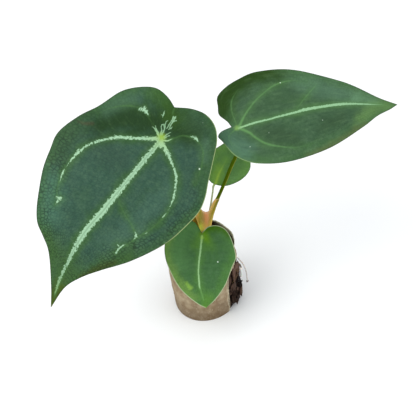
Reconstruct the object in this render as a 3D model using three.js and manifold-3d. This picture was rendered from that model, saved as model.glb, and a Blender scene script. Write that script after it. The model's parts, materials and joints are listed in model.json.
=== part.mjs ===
// A potted Anthurium forgetii: a young plant of four velvety leaves, rooted in a small plug of bark and
// coir that a sleeve of thin paper holds together.
//
// Millimetres, +Z up. The origin is the middle of the plug's flat base, on the surface it stands on.
// Seen from the front, looking along +Y, the large leaf hangs to the left, the long leaf reaches to the
// right, the small leaf hangs in front of the plug and the youngest stands behind.

import * as THREE from 'three';
import { mergeVertices } from 'three/addons/utils/BufferGeometryUtils.js';
import Module from 'manifold-3d';

const wasm = await Module();
wasm.setup();

// Driving dimensions

const GAP = 0.3; // clearance between pieces that touch

const PLUG_HEIGHT = 46;
const PLUG_RADIUS = 19.5;
const PAPER = 0.8; // wall of the sleeve
const FILL_LEVEL = 43.5; // top of the growing medium

const BLADE = 0.7; // thickness of a leaf blade

// Each leaf has a frame of its own: it starts at the point where the petiole meets the blade, u runs
// straight to the tip, v to the left of that line as seen on the upper face, and h stands up from the
// upper face. The left and right margins are (u, v) points from the notch behind the petiole round to
// the tip. The rest shapes the surface: the sideways bow of the midrib, the arch from petiole to tip,
// the fold that lifts both halves, the droop of the margins, the dimple at the petiole, and waves. rib
// is how far the midrib stands out of the underside, and ribSpread how far it reaches to each side.

const LARGE_LEAF = {
  petiolePoint: [-12, -12, 132.5],
  tip: [-75.5, -60.5, 77.5],
  upperFace: [0.1, -0.8, 0.59],
  left: [
    [-16.5, -2], [-21.5, 5.5], [-23, 13], [-20.5, 19.5], [-15.5, 24.5], [-5.5, 28.5], [5, 32],
    [12, 34.5], [18.5, 35.5], [28, 34], [41.5, 30], [57, 20], [68.5, 9.5], [76.5, 4], [84.5, 0.5], [97.5, 0],
  ],
  right: [
    [-16.5, -2], [-19, -7], [-20, -13.5], [-18.5, -18.5], [-10.5, -27.5], [3, -33.5], [12.5, -38],
    [24.5, -42.5], [33, -41], [41.5, -39], [52, -34.5], [60, -30.5], [65, -27], [69, -21.5], [73.5, -16],
    [89, -5], [97.5, 0],
  ],
  bow: -6.5, bowSkew: 1.4, halfWidth: 38,
  arch: 6, fold: 0, droop: 6, dimple: 1.5, dimpleRadius: 9,
  wave: 1.8, waveCounts: [2.6, 3.1], wavePhases: [0.4, 1.0],
  rib: 0.9, ribSpread: 1.7,
  rows: 28,
};

const LONG_LEAF = {
  petiolePoint: [28, 4, 120.5],
  tip: [110.5, 5, 120],
  upperFace: [0.01, -0.4, 0.92],
  left: [
    [-3.5, 1.5], [-5, 4.5], [-9, 9.5], [-9, 14], [-8, 19.5], [-2.5, 25], [5, 27.5], [11, 28.3],
    [18, 27.5], [36.5, 22.7], [55.5, 15.3], [73, 4.7], [82.5, 0],
  ],
  right: [
    [-3.5, 1.5], [-9.5, 0], [-11, -2], [-9.3, -5], [-4, -16], [2.5, -22.3], [10, -25.7], [17.5, -27.5],
    [25.5, -27.5], [42.5, -22.5], [61, -13], [70, -6.7], [78, -2.8], [82.5, 0],
  ],
  bow: 2, bowSkew: 1, halfWidth: 28,
  arch: 6, fold: 5, droop: 2, dimple: 1, dimpleRadius: 6,
  wave: 1.2, waveCounts: [2.5, 2.2], wavePhases: [0.2, 2.2],
  rib: 0.8, ribSpread: 1.4,
  rows: 24,
};

const SMALL_LEAF = {
  petiolePoint: [2, -14, 66],
  tip: [-1.5, -42, 38],
  upperFace: [0.1, -0.71, 0.7],
  left: [
    [-1, 0], [-2.2, 2.2], [-4.3, 5.6], [-4.5, 9], [-3, 12.2], [0.5, 15], [9, 17.5], [14, 17.6],
    [18, 15.5], [28, 11], [35, 4.2], [39.5, 0],
  ],
  right: [
    [-1, 0], [-4.3, -1.7], [-7, -3.5], [-7.8, -5.5], [-7.5, -9.3], [-5, -14.3], [0, -18.6], [5, -20.5],
    [10.5, -20.6], [16.5, -19.2], [28.5, -13.3], [37.3, -4], [39.5, 0],
  ],
  bow: -3, bowSkew: 1.1, halfWidth: 19,
  arch: 2.5, fold: 0, droop: 2.5, dimple: 0.6, dimpleRadius: 4,
  wave: 0.7, waveCounts: [2.2, 2], wavePhases: [0, 1.5],
  rib: 0.5, ribSpread: 0.9,
  rows: 18,
};

const YOUNG_LEAF = {
  petiolePoint: [13, 8.5, 80.5],
  tip: [33, 22, 104],
  upperFace: [0.05, -0.88, 0.47],
  left: [[-1, 0], [-1.2, 2.5], [0.5, 5.5], [4, 9.3], [10, 11.4], [15, 10.8], [20, 8.4], [26, 4.6], [33.5, 0]],
  right: [
    [-1, 0], [-0.8, -2], [1.5, -5.6], [4, -8.1], [8.5, -11], [13, -12.3], [17, -12], [21, -9.6],
    [27, -5], [33.5, 0],
  ],
  bow: 0.8, bowSkew: 0.7, halfWidth: 11.5,
  arch: 1.5, fold: 1.2, droop: 0.8, dimple: 0.4, dimpleRadius: 3,
  wave: 0.4, waveCounts: [2, 1.8], wavePhases: [0.5, 1.7],
  rib: 0.3, ribSpread: 0.6,
  rows: 14,
};

// The petioles: points from the socket in the crown up to the last bend, how far down and behind the
// blade's starting point that bend ends, and the radius at the foot, along the stalk and at the
// swollen knee under the blade.

const LARGE_PETIOLE = {
  points: [
    [2.6, 0.3, 57.5], [1.2, 0.2, 64], [0.2, 0, 69], [-1.3, 0.3, 75], [-3.9, 1.2, 86], [-7.5, 2.4, 102],
    [-10.8, 2, 114], [-12.2, -0.8, 121.5], [-12.7, -5.4, 127.4],
  ],
  approach: [3, 0],
  radii: [1.2, 1.05, 1.5],
  steps: 22,
};

const LONG_PETIOLE = {
  points: [
    [6.3, 0, 57.5], [8.1, 0, 64.8], [9.5, 0, 69.3], [11.8, 0.4, 74.5], [14.3, 0.8, 79.6],
    [17.5, 1.6, 86.2], [22.7, 3.2, 97.3], [25.4, 4, 102.6], [27.6, 5.2, 111.5],
  ],
  approach: [3, 0],
  radii: [1.2, 1, 1.4],
  steps: 20,
};

const SMALL_PETIOLE = {
  points: [[3.2, -1, 50.5], [2.9, -4.2, 53.7], [2.3, -8.4, 59.4]],
  approach: [3, 0],
  radii: [0.9, 0.85, 1],
  steps: 8,
};

const YOUNG_PETIOLE = {
  points: [[6.4, 1.9, 63], [7.8, 2.5, 68], [8.8, 3.2, 71.2], [9.7, 4.5, 74], [10.8, 7, 76.6]],
  approach: [0.9, 2],
  radii: [0.5, 0.5, 0.6],
  steps: 12,
};

// The crown: height, middle x, half width and half depth of its oval sections, from the foot in the
// medium up to the two sheaths, and the saddle cut between them as (x, z) points.

const CROWN_SECTIONS = [
  [30, 0.3, 3, 3],
  [44, 1, 3.4, 3.4],
  [54, 2.8, 3.9, 3.4],
  [60, 3.9, 4.3, 3.3],
  [66, 4.7, 5, 3],
  [72, 5.2, 6.7, 2.4],
  [78, 5.6, 9.2, 1.7],
];

const SADDLE = [
  [-2.4, 80], [0.2, 75.5], [2.2, 72.5], [3.6, 70], [4.5, 68.5], [5.8, 67.9], [7.3, 68.7], [8.6, 71],
  [10.2, 74], [12, 76.8], [13, 80], [13, 90], [-2.4, 90],
];

// The torn window in the sleeve, on the right, as (y, z) points, with the x from which it is cut
// outwards, and the lumps of bark that swell out through it: middle and half sizes.

const TEAR = [
  [-13.5, -1], [-13.9, 8], [-12.9, 14], [-13.8, 22], [-12, 29.5], [-7, 33.5], [-2, 34.5], [3, 33.5],
  [7, 29], [9.5, 20], [8.8, 10], [9.2, -1],
];
const TEAR_FROM = 8;

const BARK_LUMPS = [
  { middle: [16.5, -7.6, 23], half: [4.6, 4.2, 8] },
  { middle: [17, -2, 9], half: [6.2, 6.4, 8.8] },
  { middle: [15.6, -9, 6.6], half: [4.6, 3.4, 6.4] },
  { middle: [15.4, 2, 23], half: [4.6, 4.6, 7] },
];

const LUMP_ROUGHNESS = 0.12; // how far a lump's corners are pressed in, as a share of its half size

// The bark chips on top of the medium lie in a ring round the crown: their number, the ring's radius
// and how far a chip may lie outside it.

const TOP_CHIPS = { count: 11, radius: 10, spread: 2.5 };

const LONG_ROOT = {
  points: [
    [15.5, -2, 29.5], [18.4, -1.6, 31.2], [20.3, -1.1, 31], [21.9, -1, 28.8], [23.9, -1, 23.7],
    [25.2, -1, 17.3], [25.4, -1, 9.6],
  ],
  radius: 0.38,
  grain: 0.9, // a grain of medium stuck to its end
};

const SHORT_ROOT = {
  points: [[17, 1.4, 20], [20.2, 1.1, 22.4], [21.6, 0.7, 20.4], [22.2, 0.3, 16], [21.9, 0, 12.4]],
  radius: 0.8,
};

const BARK_FIBRE = {
  points: [[16.5, -2.4, 25.4], [19.3, -1.9, 27], [21.2, -1.6, 26], [22.4, -1.4, 22.6]],
  radius: 0.45,
};

// Helpers

const SEED = 7;

function randomNumbers(seed) {
  let state = seed;
  return () => {
    state = (state * 1664525 + 1013904223) % 4294967296;
    return state / 4294967296;
  };
}

// One closed geometry from a list of corner points and triangles: equal points are joined, and
// triangles that lose a corner that way are left out.
function closedGeometry(points, triangles) {
  const loose = new THREE.BufferGeometry();
  loose.setAttribute('position', new THREE.Float32BufferAttribute(points.flat(), 3));
  loose.setIndex(triangles.flat());
  const welded = mergeVertices(loose, 1e-3);
  const corners = Array.from(welded.index.array);
  const kept = [];
  for (let i = 0; i < corners.length; i += 3) {
    const [a, b, c] = corners.slice(i, i + 3);
    if (a !== b && b !== c && c !== a) kept.push(a, b, c);
  }
  welded.setIndex(kept);
  welded.computeVertexNormals();
  return welded;
}

function toSolid(geometry) {
  const bare = new THREE.BufferGeometry();
  bare.setAttribute('position', geometry.getAttribute('position'));
  if (geometry.index) bare.setIndex(geometry.index);
  const welded = mergeVertices(bare, 1e-3);
  return new wasm.Manifold(new wasm.Mesh({
    numProp: 3,
    vertProperties: new Float32Array(welded.getAttribute('position').array),
    triVerts: new Uint32Array(welded.index.array),
  }));
}

function toGeometry(solid) {
  const mesh = solid.getMesh();
  const geometry = new THREE.BufferGeometry();
  geometry.setAttribute('position', new THREE.BufferAttribute(mesh.vertProperties, 3));
  geometry.setIndex(new THREE.BufferAttribute(mesh.triVerts, 1));
  geometry.computeVertexNormals();
  return geometry;
}

// The largest of the bodies that a cut leaves.
function mainBody(solid) {
  return solid.decompose().reduce((best, body) => (body.volume() > best.volume() ? body : best));
}

// A skin over a stack of rings of points. Each ring turns anticlockwise as seen from the next one.
// The stack is closed at both ends with flat fans, or closes on itself as a hoop does.
function skin(rings, hoop = false) {
  const sides = rings[0].length;
  const points = rings.flat();
  const triangles = [];
  const last = hoop ? rings.length : rings.length - 1;
  for (let i = 0; i < last; i++) {
    const low = i * sides;
    const high = ((i + 1) % rings.length) * sides;
    for (let k = 0; k < sides; k++) {
      const next = (k + 1) % sides;
      triangles.push([low + k, low + next, high + next], [low + k, high + next, high + k]);
    }
  }
  if (!hoop) {
    const middle = (ring) => [0, 1, 2].map((c) => ring.reduce((sum, p) => sum + p[c], 0) / sides);
    const foot = points.push(middle(rings[0])) - 1;
    const head = points.push(middle(rings.at(-1))) - 1;
    const top = (rings.length - 1) * sides;
    for (let k = 0; k < sides; k++) {
      const next = (k + 1) % sides;
      triangles.push([foot, next, k], [head, top + k, top + next]);
    }
  }
  return closedGeometry(points, triangles);
}

const vector = (list) => new THREE.Vector3(...list);

// A round stalk along a smooth path, whose radius runs through the given values from end to end.
function stalk(points, radii, sides, steps) {
  const path = new THREE.CatmullRomCurve3(points.map(vector), false, 'centripetal');
  const frames = path.computeFrenetFrames(steps);
  const rings = [];
  for (let i = 0; i <= steps; i++) {
    const along = (i / steps) * (radii.length - 1);
    const from = Math.min(Math.floor(along), radii.length - 2);
    const radius = THREE.MathUtils.lerp(radii[from], radii[from + 1], along - from);
    const middle = path.getPointAt(i / steps);
    const ring = [];
    for (let k = 0; k < sides; k++) {
      const angle = (2 * Math.PI * k) / sides;
      const point = middle.clone();
      point.addScaledVector(frames.normals[i], radius * Math.cos(angle));
      point.addScaledVector(frames.binormals[i], radius * Math.sin(angle));
      ring.push(point.toArray());
    }
    rings.push(ring);
  }
  return skin(rings);
}

// Leaf blades

function leafFrame(leaf) {
  const start = vector(leaf.petiolePoint);
  const along = vector(leaf.tip).sub(start);
  const length = along.length();
  along.normalize();
  const up = vector(leaf.upperFace);
  up.addScaledVector(along, -up.dot(along)).normalize();
  const left = new THREE.Vector3().crossVectors(up, along);
  return { start, along, left, up, length };
}

function midribOffset(leaf, u, length) {
  const x = THREE.MathUtils.clamp(u / length, 0, 1);
  return leaf.bow * Math.sin(Math.PI * x ** leaf.bowSkew);
}

// Height of the upper face at (u, v). edge runs from 0 on the midrib to 1 on the margin, and turn from
// 0 at the notch to 1 at the tip.
function leafHeight(leaf, side, u, v, edge, turn, length) {
  const x = u / length;
  const y = (v - midribOffset(leaf, u, length)) / leaf.halfWidth;
  const arch = leaf.arch * 4 * x * (1 - x);
  const fold = leaf.fold * (Math.sqrt(y * y + 0.02) - Math.sqrt(0.02));
  const droop = -leaf.droop * y * y;
  const dimple = leaf.dimple * (1 - Math.exp(-(u * u + v * v) / leaf.dimpleRadius ** 2));
  const swell = edge ** 3 * Math.min(1, 6 * turn) * (1 - turn ** 3);
  const wave = leaf.wave * swell * Math.sin(2 * Math.PI * leaf.waveCounts[side] * turn + leaf.wavePhases[side]);
  return arch + fold + droop + dimple + wave;
}

// Steps from the midrib (0) to the margin (1), closer together over the rib.
const ACROSS = [0, 0.035, 0.1, 0.3, 0.52, 0.74, 0.9, 1];

// A blade is one waved sheet of even thickness with its midrib raised underneath. Its points lie on
// straight lines that fan out from the midrib to the margin, as the side veins do. Both faces are
// split into the same triangles.
function bladeGeometry(leaf) {
  const { start, along, left, up, length } = leafFrame(leaf);
  const place = (u, v, h) => start.clone()
    .addScaledVector(along, u).addScaledVector(left, v).addScaledVector(up, h).toArray();
  const points = [];
  const triangles = [];
  const columns = ACROSS.length;
  const margins = [leaf.left, leaf.right].map(
    (list) => new THREE.CatmullRomCurve3(list.map(([u, v]) => new THREE.Vector3(u, v, 0))),
  );
  margins.forEach((margin, side) => {
    const first = points.length;
    for (let i = 0; i <= leaf.rows; i++) {
      const turn = i / leaf.rows;
      const outer = margin.getPointAt(turn);
      const innerU = length * turn ** 1.8;
      const innerV = midribOffset(leaf, innerU, length);
      for (const edge of ACROSS) {
        const u = THREE.MathUtils.lerp(innerU, outer.x, edge);
        const v = THREE.MathUtils.lerp(innerV, outer.y, edge);
        const h = leafHeight(leaf, side, u, v, edge, turn, length);
        const away = v - midribOffset(leaf, u, length);
        const taper = THREE.MathUtils.clamp(1 - u / length, 0, 1) * THREE.MathUtils.smoothstep(u, -6, 3);
        const rib = leaf.rib * taper * Math.exp(-((away / leaf.ribSpread) ** 2));
        points.push(place(u, v, h), place(u, v, h - BLADE - rib));
      }
    }
    const at = (i, j, under) => first + 2 * (i * columns + j) + under;
    for (let i = 0; i < leaf.rows; i++) {
      for (let j = 0; j < columns - 1; j++) {
        const [a, b, c, d] = [at(i, j, 0), at(i + 1, j, 0), at(i + 1, j + 1, 0), at(i, j + 1, 0)];
        const upper = [[a, b, c], [a, c, d]];
        const facing = side === 0 ? upper : upper.map((corners) => corners.toReversed());
        for (const corners of facing) {
          triangles.push(corners, corners.map((corner) => corner + 1).toReversed());
        }
      }
      const [p, q] = [at(i, columns - 1, 0), at(i + 1, columns - 1, 0)];
      const wall = [[p, q, q + 1], [p, q + 1, p + 1]];
      triangles.push(...(side === 0 ? wall : wall.map((corners) => corners.toReversed())));
    }
  });
  return closedGeometry(points, triangles);
}

// A petiole ends just clear of the blade's underside. Its last point is under the point where the blade
// starts, and the one before it lies further down and behind. The end is cut square to the stalk, so a
// stalk that comes in at a slant needs more room for its rim.
function petioleGeometry(petiole, leaf, grow = 0) {
  const { start, along, up } = leafFrame(leaf);
  const [down, behind] = petiole.approach;
  const rimRoom = (petiole.radii.at(-1) * behind) / Math.hypot(down, behind);
  const seat = start.clone().addScaledVector(up, -(BLADE + leaf.rib + GAP + rimRoom));
  const below = seat.clone().addScaledVector(up, -down).addScaledVector(along, -behind);
  const points = [...petiole.points, below.toArray(), seat.toArray()];
  return stalk(points, petiole.radii.map((radius) => radius + grow), 10, petiole.steps);
}

// The crown and its sheaths

function crownGeometry(grow = 0) {
  const sides = 20;
  const rings = CROWN_SECTIONS.map(([z, x, halfWidth, halfDepth], index) => {
    const height = index === 0 ? z - grow : z;
    return Array.from({ length: sides }, (_, k) => {
      const angle = (2 * Math.PI * k) / sides;
      return [x + (halfWidth + grow) * Math.cos(angle), (halfDepth + grow) * Math.sin(angle), height];
    });
  });
  return skin(rings);
}

function saddleGeometry() {
  const outline = new THREE.Shape(SADDLE.map(([x, z]) => new THREE.Vector2(x, z)));
  const depth = 20;
  const geometry = new THREE.ExtrudeGeometry(outline, { depth, bevelEnabled: false });
  geometry.translate(0, 0, -depth / 2);
  geometry.rotateX(Math.PI / 2);
  return geometry;
}

// The plug

// The sleeve isn't quite round: its radius sways a little round the plug and up it.
function sleeveRadius(angle, z) {
  const oval = 0.35 * Math.sin(2 * angle + 0.6);
  const dents = 0.25 * Math.sin(3 * angle - z / 9 + 1);
  return PLUG_RADIUS + oval + dents;
}

const PLUG_SIDES = 48;

function plugRing(z, inset) {
  return Array.from({ length: PLUG_SIDES }, (_, k) => {
    const angle = (2 * Math.PI * k) / PLUG_SIDES;
    const radius = sleeveRadius(angle, z) - inset;
    return [radius * Math.cos(angle), radius * Math.sin(angle), z];
  });
}

function sleeveGeometry() {
  const levels = [0, 8, 16, 24, 32, 40, PLUG_HEIGHT];
  const outside = levels.map((z) => plugRing(z, 0));
  const inside = levels.toReversed().map((z) => plugRing(z, PAPER));
  const outline = new THREE.Shape(TEAR.map(([y, z]) => new THREE.Vector2(y, z)));
  const tear = new THREE.ExtrudeGeometry(outline, { depth: PLUG_RADIUS, bevelEnabled: false });
  // turned so that the outline's x lies along +Y, its y along +Z and its depth along +X
  const turn = new THREE.Matrix4().makeBasis(
    new THREE.Vector3(0, 1, 0), new THREE.Vector3(0, 0, 1), new THREE.Vector3(1, 0, 0),
  );
  tear.applyMatrix4(turn);
  tear.translate(TEAR_FROM, 0, 0);
  return toGeometry(mainBody(toSolid(skin([...outside, ...inside], true)).subtract(toSolid(tear))));
}

function lump({ middle, half }, random) {
  const geometry = new THREE.IcosahedronGeometry(1, 1);
  geometry.deleteAttribute('normal');
  geometry.deleteAttribute('uv');
  const welded = mergeVertices(geometry, 1e-3);
  const position = welded.getAttribute('position');
  for (let i = 0; i < position.count; i++) {
    const size = 1 - LUMP_ROUGHNESS * random();
    position.setXYZ(
      i,
      middle[0] + half[0] * position.getX(i) * size,
      middle[1] + half[1] * position.getY(i) * size,
      middle[2] + half[2] * position.getZ(i) * size,
    );
  }
  return welded;
}

function chip(random) {
  const [length, width, height] = [6 + 3 * random(), 3.5 + 2 * random(), 2 + random()];
  const geometry = new THREE.BoxGeometry(length, width, height);
  geometry.rotateY(0.5 * (random() - 0.5));
  geometry.rotateX(0.5 * (random() - 0.5));
  geometry.rotateZ(2 * Math.PI * random());
  return geometry;
}

function growingMediumGeometry(cuts) {
  const random = randomNumbers(SEED);
  const inset = PAPER + GAP;
  const levels = [0, 8, 16, 24, 32, 40, FILL_LEVEL - 1];
  const rings = levels.map((z) => plugRing(z, inset));
  rings.push(plugRing(FILL_LEVEL, inset + 2.5), plugRing(FILL_LEVEL + 0.5, inset + 9));
  let medium = toSolid(skin(rings));
  for (const place of BARK_LUMPS) medium = medium.add(toSolid(lump(place, random)));
  for (let i = 0; i < TOP_CHIPS.count; i++) {
    const angle = (2 * Math.PI * (i + 0.4 * random())) / TOP_CHIPS.count;
    const radius = TOP_CHIPS.radius + TOP_CHIPS.spread * random();
    const piece = chip(random);
    piece.translate(radius * Math.cos(angle), radius * Math.sin(angle), FILL_LEVEL + 0.4);
    medium = medium.add(toSolid(piece));
  }
  for (const cut of cuts) medium = medium.subtract(toSolid(cut));
  return toGeometry(mainBody(medium));
}

function rootGeometry(root, grow = 0) {
  return stalk(root.points, [root.radius + grow, 0.75 * root.radius + grow], 8, 4 * root.points.length);
}

function longRootGeometry() {
  const [x, y, z] = LONG_ROOT.points.at(-1);
  const size = LONG_ROOT.grain;
  const grain = lump({ middle: [x, y, z - 0.4 * size], half: [size, size, size] }, randomNumbers(SEED));
  return toGeometry(toSolid(rootGeometry(LONG_ROOT)).add(toSolid(grain)));
}

// Assembly

const plant = new THREE.Group();
plant.name = 'potted_anthurium_forgetii';

function add(name, geometry, color, roughness) {
  const mesh = new THREE.Mesh(geometry, new THREE.MeshStandardMaterial({ color, roughness, metalness: 0 }));
  mesh.name = name;
  plant.add(mesh);
}

const LEAF_GREEN = 0x35563c;
const YOUNG_GREEN = 0x56803f;
const STALK_GREEN = 0x5d6420;
const SHEATH_TAN = 0xae8548;
const ROOT_CREAM = 0xd8d2c2;
const BARK_BROWN = 0x4a372c;
const PAPER_BEIGE = 0xb8aa92;

const crownCuts = [
  saddleGeometry(),
  petioleGeometry(LARGE_PETIOLE, LARGE_LEAF, GAP),
  petioleGeometry(LONG_PETIOLE, LONG_LEAF, GAP),
  petioleGeometry(SMALL_PETIOLE, SMALL_LEAF, GAP),
  petioleGeometry(YOUNG_PETIOLE, YOUNG_LEAF, GAP),
];
const crown = crownCuts.reduce((body, cut) => body.subtract(toSolid(cut)), toSolid(crownGeometry()));

const mediumCuts = [
  crownGeometry(GAP),
  rootGeometry(LONG_ROOT, GAP),
  rootGeometry(SHORT_ROOT, GAP),
  rootGeometry(BARK_FIBRE, GAP),
];

add('paper_sleeve', sleeveGeometry(), PAPER_BEIGE, 0.9);
add('growing_medium', growingMediumGeometry(mediumCuts), BARK_BROWN, 0.95);
add('crown', toGeometry(mainBody(crown)), SHEATH_TAN, 0.5);
add('petiole_large_leaf', petioleGeometry(LARGE_PETIOLE, LARGE_LEAF), STALK_GREEN, 0.45);
add('petiole_long_leaf', petioleGeometry(LONG_PETIOLE, LONG_LEAF), STALK_GREEN, 0.45);
add('petiole_small_leaf', petioleGeometry(SMALL_PETIOLE, SMALL_LEAF), STALK_GREEN, 0.45);
add('petiole_young_leaf', petioleGeometry(YOUNG_PETIOLE, YOUNG_LEAF), YOUNG_GREEN, 0.45);
add('blade_large_leaf', bladeGeometry(LARGE_LEAF), LEAF_GREEN, 0.6);
add('blade_long_leaf', bladeGeometry(LONG_LEAF), LEAF_GREEN, 0.6);
add('blade_small_leaf', bladeGeometry(SMALL_LEAF), LEAF_GREEN, 0.6);
add('blade_young_leaf', bladeGeometry(YOUNG_LEAF), YOUNG_GREEN, 0.6);
add('root_long', longRootGeometry(), ROOT_CREAM, 0.6);
add('root_short', rootGeometry(SHORT_ROOT), ROOT_CREAM, 0.6);
add('bark_fibre', rootGeometry(BARK_FIBRE), BARK_BROWN, 0.9);

export default plant;
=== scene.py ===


# %% [markdown]
# # A young Anthurium forgetii in its plug
#
# This lesson dresses a small plant: four velvety leaves on thin stalks, a short stem with two leaf
# sheaths, and a plug of bark and coir in a sleeve of torn paper. Plain solids that are loaded first give
# the sizes and the places. Each piece made here takes the place of a solid and brings the fine form and
# the finish that the solid lacks.

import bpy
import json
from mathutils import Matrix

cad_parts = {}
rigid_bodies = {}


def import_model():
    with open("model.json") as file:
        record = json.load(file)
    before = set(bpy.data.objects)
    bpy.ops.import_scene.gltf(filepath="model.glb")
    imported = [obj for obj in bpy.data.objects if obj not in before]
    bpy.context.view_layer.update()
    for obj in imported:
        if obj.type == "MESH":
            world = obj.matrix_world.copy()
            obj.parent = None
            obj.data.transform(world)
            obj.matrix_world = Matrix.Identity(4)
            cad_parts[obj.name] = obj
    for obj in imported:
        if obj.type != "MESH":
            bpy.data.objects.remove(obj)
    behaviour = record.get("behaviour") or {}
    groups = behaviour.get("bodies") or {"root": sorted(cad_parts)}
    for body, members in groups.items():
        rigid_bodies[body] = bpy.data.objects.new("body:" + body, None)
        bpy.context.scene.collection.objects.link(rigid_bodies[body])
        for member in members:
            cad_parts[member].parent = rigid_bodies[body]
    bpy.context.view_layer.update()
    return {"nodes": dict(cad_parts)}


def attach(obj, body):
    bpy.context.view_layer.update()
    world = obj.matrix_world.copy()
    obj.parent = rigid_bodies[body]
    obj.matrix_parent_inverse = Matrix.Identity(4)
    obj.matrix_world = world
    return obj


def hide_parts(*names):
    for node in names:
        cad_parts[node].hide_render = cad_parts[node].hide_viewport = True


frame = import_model()
print("nodes:", sorted(frame["nodes"]))

# %% The tools that the lesson needs
import json

import bpy
import numpy as np
from mathutils import Matrix, Vector

MM = 0.001  # shapes are worked out in millimetres and put into the meshes in metres

# %% [markdown]
# ## Camera
#
# The photograph was taken from above, at about 45 degrees and from less than half a metre, with the
# camera held at a slight tilt, so the plant seems to lean to the left. Here the camera first looks
# straight at the top of the plug. Then it turns a little, until that point lies where the photograph has
# it. Shifting the lens could do that too, but a turned camera also bends the perspective as the real
# one did.

# %% Place the camera
IMAGE = 416  # width and height of the picture, pixels
FOCAL_PIXELS = 787
AIM = np.array([0, 0, 46.0])  # middle of the plug's top
AIM_PIXEL = (199.5, 243)
CAMERA_DISTANCE = 450  # millimetres
CAMERA_ELEVATION = np.radians(45)
CAMERA_TILT = np.radians(8)

back = np.array([0, -np.cos(CAMERA_ELEVATION), np.sin(CAMERA_ELEVATION)])
level_right = np.array([1.0, 0, 0])
level_up = np.cross(back, level_right)
right = np.cos(CAMERA_TILT) * level_right - np.sin(CAMERA_TILT) * level_up
up = np.cross(back, right)
aim_in_picture = Vector((AIM_PIXEL[0] - IMAGE / 2, IMAGE / 2 - AIM_PIXEL[1], -FOCAL_PIXELS))
turn_away = np.array(aim_in_picture.rotation_difference(Vector((0, 0, -1))).to_matrix())
camera_axes = np.column_stack([right, up, back]) @ turn_away

camera_data = bpy.data.cameras.new("camera")
camera_data.lens = FOCAL_PIXELS / IMAGE * camera_data.sensor_width
camera_data.clip_start = 0.01
camera = bpy.data.objects.new("camera", camera_data)
place = (AIM + CAMERA_DISTANCE * back) * MM
camera.matrix_world = Matrix(np.vstack([np.column_stack([camera_axes, place]), [0, 0, 0, 1]]).tolist())
bpy.context.scene.collection.objects.link(camera)
bpy.context.scene.camera = camera
print("camera at", place.round(3), "m, lens", round(camera_data.lens, 1), "mm")

# %% [markdown]
# ## Floor and light
#
# The plant was photographed in soft, even light against white. A pale floor under a pale sky gives most
# of that light. One large lamp from the upper left models the forms, and a weaker one from the right
# keeps the shadows open. The Standard view keeps the colours as they are mixed.

# %% Build the floor and the lamps
def new_object(name, data):
    made = bpy.data.objects.new(name, data)
    bpy.context.scene.collection.objects.link(made)
    return made


def colour(red, green, blue):
    """A colour given as it shows on a screen, 0 to 255, turned into the linear light that Blender mixes."""
    shown = np.array([red, green, blue]) / 255
    linear = np.where(shown <= 0.04045, shown / 12.92, ((shown + 0.055) / 1.055) ** 2.4)
    return (*linear.tolist(), 1.0)


FLOOR_HALF = 3000  # millimetres
floor_mesh = bpy.data.meshes.new("floor")
corners = [(-1, -1, 0), (1, -1, 0), (1, 1, 0), (-1, 1, 0)]
corners = [(x * FLOOR_HALF * MM, y * FLOOR_HALF * MM, z) for x, y, z in corners]
floor_mesh.from_pydata(corners, [], [(0, 1, 2, 3)])
floor = new_object("floor", floor_mesh)
floor_material = bpy.data.materials.new("pale floor")
floor_material.use_nodes = True
floor_shader = floor_material.node_tree.nodes["Principled BSDF"]
floor_shader.inputs["Base Color"].default_value = colour(246, 246, 245)
floor_shader.inputs["Roughness"].default_value = 0.8
floor_shader.inputs["Specular IOR Level"].default_value = 0.2
floor_mesh.materials.append(floor_material)

world = bpy.data.worlds.new("sky")
world.use_nodes = True
world.node_tree.nodes["Background"].inputs["Color"].default_value = colour(247, 250, 255)
world.node_tree.nodes["Background"].inputs["Strength"].default_value = 0.9
bpy.context.scene.world = world
bpy.context.scene.view_settings.view_transform = "Standard"


def lamp(name, position, aim, size, watts):
    """A square lamp that looks from its position at the aim, both in millimetres."""
    data = bpy.data.lights.new(name, "AREA")
    data.size = size * MM
    data.energy = watts
    made = new_object(name, data)
    made.location = Vector(position) * MM
    made.rotation_euler = (Vector(aim) - Vector(position)).to_track_quat("-Z", "Y").to_euler()
    return made


key_lamp = lamp("key lamp", (-500, -350, 900), (0, 0, 80), 700, 6.5)
lamp("fill lamp", (700, -300, 500), (0, 0, 80), 700, 1.5)
print("floor", 2 * FLOOR_HALF * MM, "m wide, key lamp at", key_lamp.location.to_tuple(2), "m")

# %% [markdown]
# ## Helpers for shapes
#
# A leaf margin, a vein and a stalk are all smooth lines through a few given points.
# A spline object could draw them, but here the points of the line are needed as numbers, so one function
# works out the curve. Small unevenness, as on anything that grew, comes from a second function.

# %% Smooth lines and ripples
def smooth_path(points, shares):
    """Points on a smooth line through the given ones, at the given shares of its length.

    Between two given points the line is a cubic in t whose slope at each end leans on the neighbours,
    each weighed by the square root of its distance: the centripetal Catmull-Rom curve.
    """
    given = np.asarray(points, float)
    padded = np.vstack([2 * given[0] - given[1], given, 2 * given[-1] - given[-2]])
    t = np.linspace(0, len(given) - 1, 30 * len(given))
    span = np.minimum(t.astype(int), len(given) - 2)
    t = (t - span)[:, None]
    p0, p1, p2, p3 = (padded[span + k] for k in range(4))
    d0, d1, d2 = (
        np.sqrt(np.linalg.norm(b - a, axis=1))[:, None] for a, b in ((p0, p1), (p1, p2), (p2, p3))
    )
    slope1 = d1 * ((p1 - p0) / d0 - (p2 - p0) / (d0 + d1) + (p2 - p1) / d1)
    slope2 = d1 * ((p2 - p1) / d1 - (p3 - p1) / (d1 + d2) + (p3 - p2) / d2)
    square = 3 * (p2 - p1) - 2 * slope1 - slope2
    cube = 2 * (p1 - p2) + slope1 + slope2
    line = p1 + slope1 * t + square * t**2 + cube * t**3
    run = np.r_[0, np.cumsum(np.linalg.norm(np.diff(line, axis=0), axis=1))]
    return np.stack([np.interp(np.asarray(shares) * run[-1], run, axis) for axis in line.T], -1)


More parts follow.
